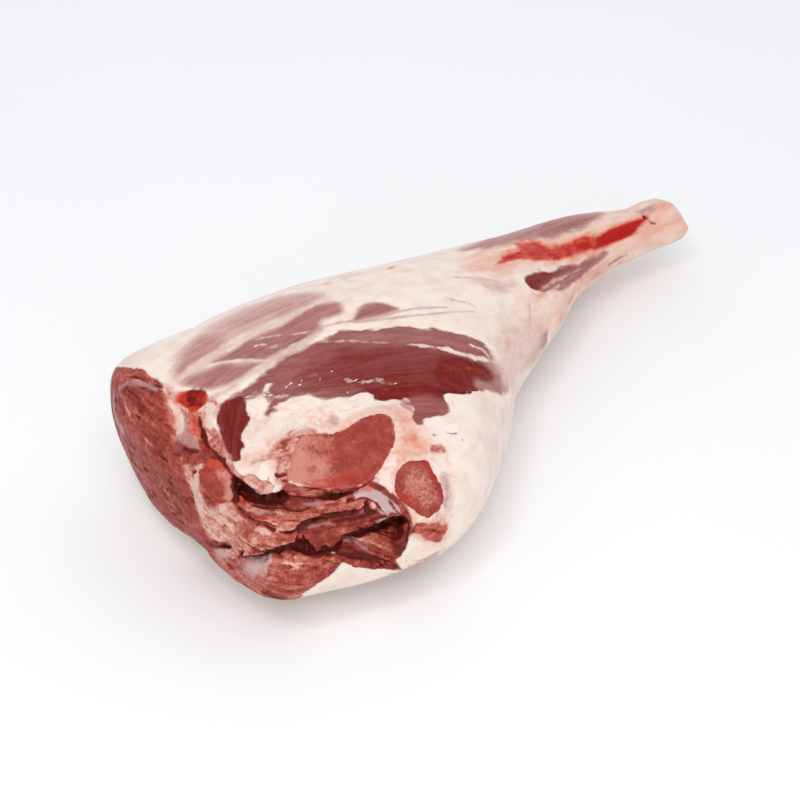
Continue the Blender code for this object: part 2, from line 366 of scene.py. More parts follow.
# areas: outline, softness of the edge and raggedness, what the tissue is, and how far it stands up or sinks.
# lean is muscle under its skin, raw is cut or torn muscle, and its darkest tones also paint shade in
# crevices, holes and gaps. tones run from 0, palest lean or darkest raw, to 1
# reach is how far over or under its middle an area is laid, where it isn't the usual distance
areas = {
    "farStrip": dict(outline=[(-184, 54, 97), (-167, 65, 97), (-143, 73, 96), (-118, 76, 95), (-97, 69, 97),
        (-81, 55, 101), (-83, 44, 103), (-103, 43, 104), (-128, 47, 102), (-146, 48, 101), (-164, 44, 100),
        (-178, 41, 99), (-188, 40, 97), (-191, 47, 96)],
        soft=9, ragged=3, blur=1, lean=0.9, tone=0.1, fibre=(1, 0.06, 0.05)),
    "farStripNear": dict(outline=[(-179, 60, 97), (-164, 63, 98), (-156, 56, 99), (-162, 48, 100),
        (-174, 43, 99), (-184, 40, 98), (-191, 44, 96)], soft=7, ragged=3, blur=1, tone=0.3),
    "farStripTop": dict(outline=[(-115, 62, 99), (-100, 63, 99), (-90, 55, 101), (-100, 48, 103),
        (-113, 52, 102)], soft=6, ragged=3, blur=1, tone=0.2),
    "middleStripTop": dict(outline=[(-161, 39, 101), (-148, 39, 102), (-137, 40, 103), (-125, 40, 103),
        (-111, 41, 104), (-97, 43, 104), (-87, 41, 104), (-79, 37, 104), (-83, 27, 105), (-90, 24, 106),
        (-99, 26, 106), (-103, 21, 106), (-111, 17, 106), (-122, 16, 105), (-134, 16, 104), (-144, 18, 103),
        (-154, 26, 102), (-163, 32, 101), (-168, 38, 100)],
        soft=5.5, ragged=2, blur=1, lean=1, tone=0.4, fibre=(1, 0.1, 0.05)),
    "middleStrip": dict(outline=[(-155, 38, 101), (-143, 36, 102), (-131, 28, 104), (-119, 19, 105),
        (-127, 17, 105), (-138, 17, 103), (-147, 22, 102), (-156, 29, 101)],
        soft=7, ragged=3, blur=0.6, tone=0.46),
    "middleStripNear": dict(outline=[(-190, 35, 96), (-180, 37, 98), (-170, 35, 100), (-159, 27, 101),
        (-146, 18, 102), (-153, 15, 102), (-160, 15, 101), (-170, 16, 99), (-180, 20, 98), (-187, 27, 97)],
        soft=5.5, ragged=2.5, blur=1, lean=1, tone=0.4, fibre=(1, 0.1, 0.05)),
    "smallOval": dict(outline=[(-84, 14, 106), (-76, 22, 105), (-67, 26, 104), (-60, 24, 103),
        (-55, 19, 102), (-52, 12, 102), (-62, 12, 103), (-74, 12, 105)],
        soft=3.5, ragged=1.5, blur=0.9, lean=1, tone=0.46, lift=-0.4),
    "thighMuscle": dict(outline=[(-179, 6, 97), (-169, 7, 99), (-154, 9, 101), (-142, 12, 103),
        (-131, 13, 104), (-121, 12, 105), (-109, 12, 106), (-96, 11, 106), (-83, 5, 105), (-65, -2, 103),
        (-52, -8, 100), (-38, -15, 96), (-28, -22, 91), (-19, -27, 84), (-15, -33, 78), (-13, -37, 71),
        (-27, -49, 74), (-48, -59, 83), (-71, -58, 93), (-79, -69, 90), (-87, -70, 91), (-95, -69, 93),
        (-100, -70, 93), (-98, -62, 95), (-101, -54, 97), (-108, -50, 98), (-112, -43, 99),
        (-112, -38, 100), (-123, -36, 100), (-134, -30, 100), (-138, -26, 100), (-139, -20, 101),
        (-144, -19, 100), (-151, -17, 99), (-160, -17, 98), (-168, -19, 97), (-167, -14, 98),
        (-155, 0, 100), (-164, -3, 99), (-171, -1, 98)],
        soft=3.5, ragged=3.5, blur=0.6, lean=1, tone=0.55, lift=-0.9, fibre=(0.93, -0.33, -0.1)),
    "thighMuscleDark": dict(outline=[(-128, -12, 102), (-104, -10, 104), (-82, -18, 103), (-61, -29, 99),
        (-56, -39, 95), (-69, -55, 94), (-94, -44, 99), (-115, -25, 102)],
        soft=13, ragged=7, blur=0.15, tone=0.76),
    "thighMuscleFar": dict(outline=[(-96, 7, 106), (-75, 1, 105), (-48, -13, 99), (-27, -25, 89),
        (-19, -30, 83), (-50, -25, 97), (-73, -12, 103), (-96, 1, 106)],
        soft=5, ragged=3, blur=0.15, tone=0.5),
    "lowerRed": dict(outline=[(-111, -37, 100), (-96, -42, 100), (-73, -55, 94), (-74, -60, 93),
        (-83, -58, 95), (-93, -55, 97), (-102, -53, 98), (-108, -48, 99), (-111, -43, 99)],
        soft=4, ragged=3, blur=0.15, tone=0.88, blood=0.4, rawTone=0.22),
    "mauveFlap": dict(outline=[(-94, -56, 96), (-86, -57, 96), (-78, -62, 93), (-79, -69, 90),
        (-87, -70, 91), (-95, -69, 93), (-101, -70, 93), (-100, -64, 95)],
        soft=3, ragged=2, blur=0.4, lean=1, tone=0.56),
    "deepEnd": dict(outline=[(-61, -39, 96), (-48, -38, 93), (-38, -41, 88), (-28, -43, 81), (-25, -48, 73),
        (-32, -52, 76), (-40, -51, 83), (-46, -54, 85), (-49, -59, 83), (-60, -60, 88), (-71, -58, 93),
        (-72, -52, 95), (-68, -45, 97)],
        soft=3, ragged=3, blur=0.2, lean=1, tone=0.88, lift=-1.2, fibre=(0.8, -0.5, -0.3), blood=0.5,
        rawTone=0.2),
    "greyFlap": dict(outline=[(-25, -41, 80), (-12, -36, 71), (-10, -40, 63), (-13, -45, 58),
        (-26, -54, 66), (-41, -57, 79), (-44, -54, 83), (-30, -51, 75), (-23, -45, 74)],
        soft=3.5, ragged=2.5, blur=0.7, lean=1, tone=0.36, lift=0.5),
    "buttCut": dict(outline=[(-204, 92, 78), (-203, 78, 86), (-201, 65, 91), (-200, 54, 93), (-201, 44, 94),
        (-202, 35, 93), (-204, 27, 91), (-203, 21, 91), (-209, 12, 87), (-214, 6, 82), (-215, -4, 80),
        (-216, -12, 78), (-219, -17, 72), (-220, -23, 65), (-220, -28, 55), (-219, -36, 47),
        (-216, -39, 40), (-218, -23, 20), (-222, -7, 21), (-226, 16, 21), (-225, 36, 22), (-224, 50, 26),
        (-223, 60, 32), (-220, 69, 36), (-223, 77, 43), (-219, 84, 64), (-210, 92, 78)],
        soft=2.5, ragged=1.5, raw=1, rawTone=0.53, fibre=(0.05, -1, 0.1), reach=45),
    "buttRed": dict(outline=[(-210, 32, 88), (-206, 28, 90), (-203, 21, 91), (-206, 15, 88), (-211, 13, 85),
        (-214, 21, 83)], soft=4, ragged=3, rawTone=0.55, blood=0.3),
    "buttRim": dict(outline=[(-204, 93, 75), (-203, 82, 84), (-201, 66, 91), (-200, 54, 93), (-200, 43, 94),
        (-203, 51, 92), (-205, 65, 89), (-208, 80, 79)],
        soft=2.5, ragged=1.5, raw=1, rawTone=0.64, fibre=(0.1, -1, 0.5)),
    "shinMauve": dict(outline=[(37, 63, 78), (61, 73, 70), (84, 80, 63), (103, 81, 60), (122, 82, 56),
        (139, 81, 54), (153, 76, 54), (166, 72, 52), (165, 65, 53), (153, 60, 55), (136, 57, 58),
        (119, 56, 61), (103, 55, 64), (86, 57, 68), (70, 58, 72), (53, 58, 76)],
        soft=9, ragged=3, blur=1, lean=1, tone=0.3, lift=-0.4, fibre=(0.95, 0.1, -0.3)),
    "shinBrown": dict(outline=[(108, 66, 63), (123, 67, 60), (141, 67, 57), (151, 65, 56), (139, 60, 57),
        (120, 57, 61), (105, 58, 64)], soft=5, ragged=3, blur=0.8, tone=0.42),
    "shankPeach": dict(outline=[(21, 42, 85), (46, 54, 78), (63, 54, 74), (98, 54, 65), (141, 52, 55),
        (192, 57, 50), (212, 52, 50), (213, 42, 45), (223, 37, 32), (196, 39, 36), (169, 40, 38),
        (138, 37, 39), (101, 21, 42), (76, 6, 41), (71, 6, 49), (95, 21, 50), (127, 35, 46), (98, 34, 58),
        (60, 30, 73), (33, 28, 81)], soft=8, ragged=6, peach=0.85),
    "redCore": dict(outline=[(137, 46, 53), (153, 50, 52), (169, 52, 51), (186, 52, 50), (194, 49, 49),
        (183, 45, 46), (171, 42, 44), (156, 42, 44), (143, 41, 46), (135, 42, 50)],
        soft=2.5, ragged=1.6, blood=1, lift=-1.6),
    "redTail": dict(outline=[(78, 56, 70), (92, 58, 67), (96, 52, 66), (103, 48, 63), (116, 49, 60),
        (131, 51, 57), (144, 51, 55), (142, 42, 48), (128, 39, 50), (113, 36, 54), (95, 35, 60),
        (81, 35, 66), (69, 37, 71), (56, 38, 75), (41, 36, 79), (59, 46, 75), (73, 48, 71)],
        soft=3.5, ragged=4, blur=0.3, peach=1, blood=0.82, lift=-0.6),
    "calfDark": dict(outline=[(58, 22, 71), (66, 26, 69), (84, 28, 62), (104, 32, 54), (113, 32, 49),
        (100, 28, 52), (83, 21, 58), (71, 15, 61), (62, 12, 64), (56, 14, 68), (55, 18, 71)],
        soft=3.5, ragged=2.6, blur=0.5, lean=1, tone=0.8, lift=-1.2, fibre=(0.85, 0.2, -0.5), blood=0.4,
        rawTone=0.25),
    "calfBlue": dict(outline=[(66, 13, 63), (80, 20, 59), (96, 28, 54), (112, 33, 51), (128, 37, 47),
        (144, 40, 44), (147, 39, 39), (135, 36, 37), (119, 30, 40), (99, 21, 47), (80, 15, 55)],
        soft=4, ragged=2.5, blur=0.9, lean=1, tone=0.46),
    "knuckle": dict(outline=[(193, 53, 50), (205, 54, 51), (217, 50, 49), (220, 38, 39), (210, 37, 38),
        (196, 41, 43), (191, 45, 47)], soft=6, ragged=4, peach=0.8),
    "kneeMauve": dict(outline=[(20, -21, 55), (28, -14, 58), (39, -9, 56), (53, -5, 46), (55, -5, 34),
        (47, -8, 31), (31, -17, 34), (17, -24, 42)], soft=6, ragged=3, blur=1, lean=0.8, tone=0.04),
    "kneeBlob": dict(outline=[(43, -9, 51), (53, -5, 46), (54, -5, 37), (46, -9, 40), (41, -11, 47)],
        soft=3, ragged=2, blur=0.8, lean=0.9, tone=0.35),
    "kneeUpper": dict(outline=[(19, 23, 84), (34, 20, 79), (44, 20, 76), (42, 14, 74), (32, 11, 77),
        (19, 13, 83)], soft=7, ragged=4, blur=1, lean=0.7, tone=0.05),
    "kneeShade": dict(outline=[(3, -16, 77), (25, -6, 70), (44, -4, 60), (48, -7, 47), (36, -14, 43),
        (14, -26, 42), (-8, -43, 50), (-15, -43, 68)], soft=9, ragged=5, blur=1, lean=0.5, tone=0),
    "kneePeach": dict(outline=[(43, 5, 69), (59, 9, 63), (74, 9, 53), (64, 1, 46), (52, -6, 41),
        (33, -12, 56)], soft=8, ragged=6, peach=0.4),
    "mauveByHole": dict(outline=[(190, 58, 50), (198, 58, 50), (203, 54, 50), (200, 49, 49), (193, 51, 49)],
        soft=4, ragged=2.5, blur=0.8, lean=0.75, tone=0.2),
}

# the same for the open side with the bones
openAreas = {
    "darkLobe": dict(outline=[(-188, 4, 95), (-182, 6, 96), (-177, 5, 98), (-173, -1, 98), (-176, -7, 97),
        (-178, -13, 96), (-184, -17, 94), (-188, -23, 93), (-189, -28, 92), (-193, -29, 91),
        (-196, -33, 90), (-199, -29, 89), (-199, -22, 90), (-196, -15, 91), (-194, -7, 92), (-192, -1, 93)],
        soft=2.5, ragged=2.2, blur=0.3, lean=1, tone=0.87, lift=-0.8, fibre=(0.5, 0.8, 0.3), blood=0,
        rawTone=0.45),
    "redTriangle": dict(outline=[(-200, 29, 93), (-195, 31, 95), (-190, 28, 97), (-185, 22, 98),
        (-185, 19, 97), (-188, 15, 95), (-193, 14, 94), (-197, 14, 93), (-198, 20, 93), (-199, 25, 93)],
        soft=1.6, ragged=1.2, blur=0.1, raw=1, rawTone=0.27, blood=0.9, lift=-1.6),
    "fascia": dict(outline=[(-169, -1, 98), (-169, -15, 97), (-156, -18, 99), (-139, -29, 100),
        (-128, -37, 99), (-110, -52, 98), (-99, -60, 96), (-101, -71, 92), (-96, -78, 89), (-96, -86, 84),
        (-98, -97, 76), (-104, -108, 63), (-108, -110, 50), (-115, -109, 35), (-128, -108, 46),
        (-133, -105, 66), (-137, -97, 74), (-139, -89, 81), (-162, -80, 83), (-180, -67, 87),
        (-198, -48, 86), (-202, -37, 87), (-200, -25, 89), (-198, -35, 89), (-186, -25, 93), (-179, -13, 96)],
        soft=5, ragged=4, fascia=1, fibre=(0.8, -0.5, 0.1)),
    "fasciaByButt": dict(outline=[(-199, 40, 94), (-197, 33, 95), (-199, 26, 93), (-198, 16, 92),
        (-191, 12, 94), (-184, 16, 97), (-183, 7, 96), (-192, 0, 93), (-196, -10, 91), (-198, -22, 90),
        (-199, -32, 89), (-204, -37, 86), (-206, -29, 87), (-209, -21, 86), (-215, -16, 80),
        (-218, -14, 74), (-216, -4, 80), (-215, 6, 83), (-208, 15, 88), (-205, 26, 90)],
        soft=3, ragged=2.5, blur=0.8, raw=1, rawTone=0.88, fascia=0.6, peach=0.3, fibre=(0.2, -0.8, -0.5)),
    "paleByTriangle": dict(outline=[(-203, 30, 92), (-202, 26, 92), (-201, 21, 92), (-203, 14, 90),
        (-207, 9, 87), (-209, 10, 86), (-207, 16, 88), (-205, 23, 91)],
        soft=2.5, ragged=2.5, blur=0.7, raw=0, silver=0.3),
    "ridgeByCrack": dict(outline=[(-198, -1, 91), (-195, -4, 92), (-196, -11, 91), (-199, -18, 90),
        (-202, -20, 89), (-202, -15, 88), (-202, -8, 89)],
        soft=1.6, ragged=2, blur=0.3, raw=1, rawTone=0.8, lift=0.7, fibre=(0.3, -0.8, -0.4)),
    "redByCrack": dict(outline=[(-203, 1, 89), (-202, -3, 89), (-204, -9, 88), (-204, -16, 87),
        (-204, -24, 88), (-208, -18, 86), (-208, -10, 86), (-206, -4, 87)],
        soft=1.8, ragged=1.6, blur=0.2, raw=1, rawTone=0.4, blood=0.25),
    "peachByIschium": dict(outline=[(-105, -57, 97), (-99, -63, 95), (-103, -74, 91), (-103, -83, 86),
        (-110, -89, 84), (-124, -89, 86), (-131, -90, 82), (-138, -92, 78), (-128, -83, 89),
        (-118, -76, 93), (-112, -66, 95)], soft=6, ragged=5, peach=0.85),
    "peachByIsland": dict(outline=[(-199, -33, 89), (-184, -37, 93), (-171, -37, 95), (-160, -40, 96),
        (-146, -49, 98), (-132, -51, 98), (-122, -50, 98), (-112, -54, 97), (-111, -63, 95),
        (-115, -54, 97), (-145, -57, 97), (-176, -62, 92), (-190, -45, 90)], soft=6, ragged=5, peach=0.7),
    "peachUnderIschium": dict(outline=[(-134, -102, 70), (-129, -106, 67), (-128, -108, 60),
        (-117, -108, 54), (-114, -108, 60), (-110, -109, 49), (-112, -109, 34), (-125, -109, 42),
        (-134, -106, 53), (-134, -104, 62)], soft=4, ragged=3, peach=0.8),
    "salmonByPubic": dict(outline=[(-187, -58, 88), (-184, -51, 90), (-178, -47, 93), (-170, -43, 94),
        (-162, -40, 96), (-154, -44, 97), (-159, -55, 96), (-172, -62, 92), (-180, -68, 87)],
        soft=4.5, ragged=4, blur=0.9, raw=1, rawTone=0.82),
    "island": dict(outline=[(-193, -40, 90), (-187, -41, 92), (-180, -40, 93), (-172, -37, 95),
        (-167, -36, 96), (-164, -37, 96), (-167, -42, 95), (-171, -48, 94), (-176, -51, 93),
        (-182, -52, 91), (-182, -47, 92), (-187, -43, 91)],
        soft=4, ragged=3, blur=0.5, raw=1, rawTone=0.84),
    "redSpot": dict(outline=[(-114, -75, 92), (-111, -74, 91), (-107, -76, 90), (-110, -79, 89),
        (-114, -78, 90), (-115, -77, 91)], soft=3.5, ragged=3, blood=0.6),
    "brownSpot": dict(outline=[(-103, -84, 86), (-98, -84, 85), (-94, -86, 83), (-95, -89, 81),
        (-104, -87, 84)], soft=3, ragged=2, blur=0.5, raw=1, rawTone=0.78),
    "rumpMauve": dict(outline=[(-105, -98, 75), (-102, -100, 73), (-106, -107, 63), (-109, -108, 57),
        (-111, -107, 63), (-107, -103, 70)], soft=4, ragged=3, blur=0.8, lean=0.9, tone=0.15),
    "rumpLobe": dict(outline=[(-132, -106, 56), (-129, -107, 59), (-121, -108, 55), (-110, -109, 49),
        (-111, -110, 43), (-114, -110, 39), (-118, -110, 40), (-125, -108, 46), (-132, -106, 53)],
        soft=2.5, ragged=2, blur=0.3, raw=1, rawTone=0.66, blood=0.3, lift=0.6),
    "greySpotAbovePubic": dict(outline=[(-139, -39, 98), (-137, -43, 98), (-140, -49, 98), (-143, -48, 98),
        (-143, -43, 98)], soft=2.5, ragged=1.5, blur=0.7, lean=0.8, tone=0.1, lift=-0.9),
    "tornMuscle": dict(outline=[(-219, -30, 55), (-220, -25, 61), (-218, -22, 71), (-212, -20, 84),
        (-204, -27, 88), (-204, -36, 86), (-201, -50, 83), (-192, -62, 85), (-179, -66, 89),
        (-157, -83, 82), (-144, -85, 83), (-137, -94, 77), (-133, -104, 68), (-132, -106, 56),
        (-135, -106, 49), (-139, -106, 40), (-143, -105, 37), (-138, -105, 26), (-149, -103, 33),
        (-164, -101, 41), (-174, -97, 49), (-187, -97, 41), (-198, -91, 33), (-200, -85, 19),
        (-206, -79, 13), (-212, -66, 11), (-217, -48, 10), (-220, -37, 14), (-220, -23, 18),
        (-220, -11, 18), (-221, -24, 37)],
        soft=2.5, ragged=1, raw=1, rawTone=0.5, fibre=(0.8, -0.58, 0.1), reach=50),
    "paleRoot": dict(outline=[(-213, -43, 74), (-210, -48, 76), (-207, -56, 76), (-208, -58, 70),
        (-211, -50, 62), (-213, -51, 55), (-211, -58, 51), (-215, -49, 44), (-217, -42, 46),
        (-219, -33, 49), (-219, -30, 58), (-217, -35, 65)],
        soft=3.5, ragged=3, blur=0.7, rawTone=0.95, fibre=(0.3, -0.8, -0.5)),
    "topBand": dict(outline=[(-208, -49, 79), (-200, -59, 81), (-188, -69, 83), (-174, -79, 81),
        (-164, -83, 80), (-171, -82, 79), (-178, -81, 78), (-186, -76, 79), (-198, -65, 80), (-206, -57, 77)],
        soft=3, ragged=2, rawTone=0.42),
    "middleMass": dict(outline=[(-207, -55, 76), (-198, -65, 79), (-188, -75, 79), (-178, -82, 77),
        (-172, -86, 73), (-180, -83, 74), (-186, -81, 74), (-191, -80, 72), (-196, -79, 70),
        (-201, -74, 70), (-205, -66, 72), (-207, -58, 72)], soft=2.5, ragged=2, rawTone=0.72),
    "tongue": dict(outline=[(-211, -51, 61), (-207, -60, 68), (-205, -67, 68), (-201, -74, 70),
        (-194, -80, 70), (-190, -82, 69), (-193, -81, 65), (-199, -78, 62), (-204, -73, 57),
        (-208, -65, 55), (-210, -57, 55), (-212, -52, 55)], soft=2.5, ragged=2, rawTone=0.68),
    "upperStrand": dict(outline=[(-175, -82, 78), (-168, -83, 79), (-161, -83, 80), (-155, -85, 81),
        (-151, -89, 77), (-153, -92, 73), (-161, -89, 73), (-167, -87, 74), (-175, -84, 75)],
        soft=2.5, ragged=2, rawTone=0.72),
    "smoothFlap": dict(outline=[(-172, -87, 71), (-164, -90, 68), (-155, -94, 67), (-150, -96, 67),
        (-149, -97, 62), (-156, -95, 61), (-164, -93, 61), (-169, -92, 62), (-172, -89, 66)],
        soft=2, ragged=1.5, rawTone=0.5),
    "chunk": dict(outline=[(-189, -83, 68), (-184, -84, 70), (-177, -86, 69), (-173, -89, 65),
        (-170, -92, 60), (-175, -92, 58), (-180, -90, 58), (-185, -89, 58), (-187, -85, 63)],
        soft=2, ragged=2, rawTone=0.5),
    "pocketFloor": dict(outline=[(-167, -94, 59), (-155, -96, 59), (-146, -99, 57), (-139, -102, 57),
        (-135, -106, 53), (-137, -106, 44), (-141, -106, 39), (-150, -103, 43), (-158, -100, 50),
        (-164, -97, 54)], soft=2, ragged=1.5, raw=1, rawTone=0.6, fibre=(0.7, -0.4, -0.6)),
    # painted shade in the upper corner of the pocket
    "pocketShade": dict(outline=[(-139, -102, 57), (-134, -106, 55), (-136, -106, 46), (-139, -106, 42),
        (-142, -105, 45)], soft=3, ragged=1.5, rawTone=0.3),
    "pocketPale": dict(outline=[(-166, -94, 58), (-159, -96, 59), (-153, -99, 57), (-155, -100, 52),
        (-160, -98, 53)], soft=3, ragged=2.5, rawTone=0.72),
    "bottomLobe": dict(outline=[(-219, -35, 35), (-216, -50, 40), (-209, -70, 49), (-200, -80, 58),
        (-192, -88, 56), (-177, -94, 54), (-174, -97, 49), (-183, -97, 43), (-194, -94, 36),
        (-198, -91, 31), (-200, -85, 19), (-207, -79, 13), (-213, -65, 10), (-219, -49, 12),
        (-220, -33, 11), (-218, -23, 15)],
        soft=2.5, ragged=2, raw=1, rawTone=0.68, lift=0.6, fibre=(0.55, -0.8, 0.1)),
    "bottomLobeRed": dict(outline=[(-204, -84, 45), (-194, -90, 51), (-181, -96, 48), (-189, -96, 41),
        (-198, -91, 36), (-205, -83, 33)], soft=5, ragged=3, rawTone=0.62),
    "membraneOnLobe": dict(outline=[(-214, -56, 40), (-210, -66, 47), (-207, -72, 51), (-209, -72, 43),
        (-211, -68, 37), (-213, -61, 35), (-214, -57, 37)], soft=3.5, ragged=3, blur=0.6, silver=0.75),
    "membraneByLip": dict(outline=[(-219, -33, 34), (-217, -45, 41), (-216, -49, 41), (-217, -45, 35),
        (-218, -38, 32)], soft=2.5, ragged=1.5, blur=0.5, silver=0.8),
    "ledge": dict(outline=[(-216, -12, 78), (-216, -18, 78), (-218, -22, 71), (-219, -27, 66),
        (-217, -35, 65), (-213, -44, 62), (-212, -52, 56), (-212, -57, 49), (-217, -45, 43),
        (-219, -36, 46), (-220, -29, 54), (-220, -23, 65), (-219, -17, 71)],
        soft=3, ragged=2, blur=0.5, raw=1, rawTone=0.86, lift=0.4, fibre=(0.3, -0.8, -0.5)),
    "greyLobe": dict(outline=[(-211, 8, 85), (-207, 8, 87), (-206, 4, 88), (-206, -2, 87), (-207, -7, 86),
        (-210, -5, 85), (-212, 0, 84), (-212, 5, 84)],
        soft=3.2, ragged=2.4, blur=1, raw=0.2, rawTone=0.6, lean=0.9, tone=0.42, silver=0.25, lift=0.9),
    "brownLobe": dict(outline=[(-215, 5, 83), (-212, -1, 84), (-209, -9, 85), (-208, -16, 86),
        (-211, -17, 84), (-214, -10, 81), (-216, -3, 80)],
        soft=2, ragged=2, blur=0.3, raw=1, rawTone=0.56, lift=0.5),
    "orangeChannel": dict(outline=[(-198, 15, 92), (-196, 12, 93), (-198, 5, 91), (-202, -3, 89),
        (-204, -3, 88), (-205, 3, 88), (-203, 10, 89)],
        soft=2.5, ragged=2.5, blood=0.6, raw=1, rawTone=0.8),
    "bloodOnIlium": dict(outline=[(-208, -18, 86), (-205, -20, 87), (-203, -25, 88), (-204, -31, 87),
        (-207, -30, 86), (-210, -24, 86)], soft=2, ragged=2, raw=1, rawTone=0.6, blood=0.72),
}
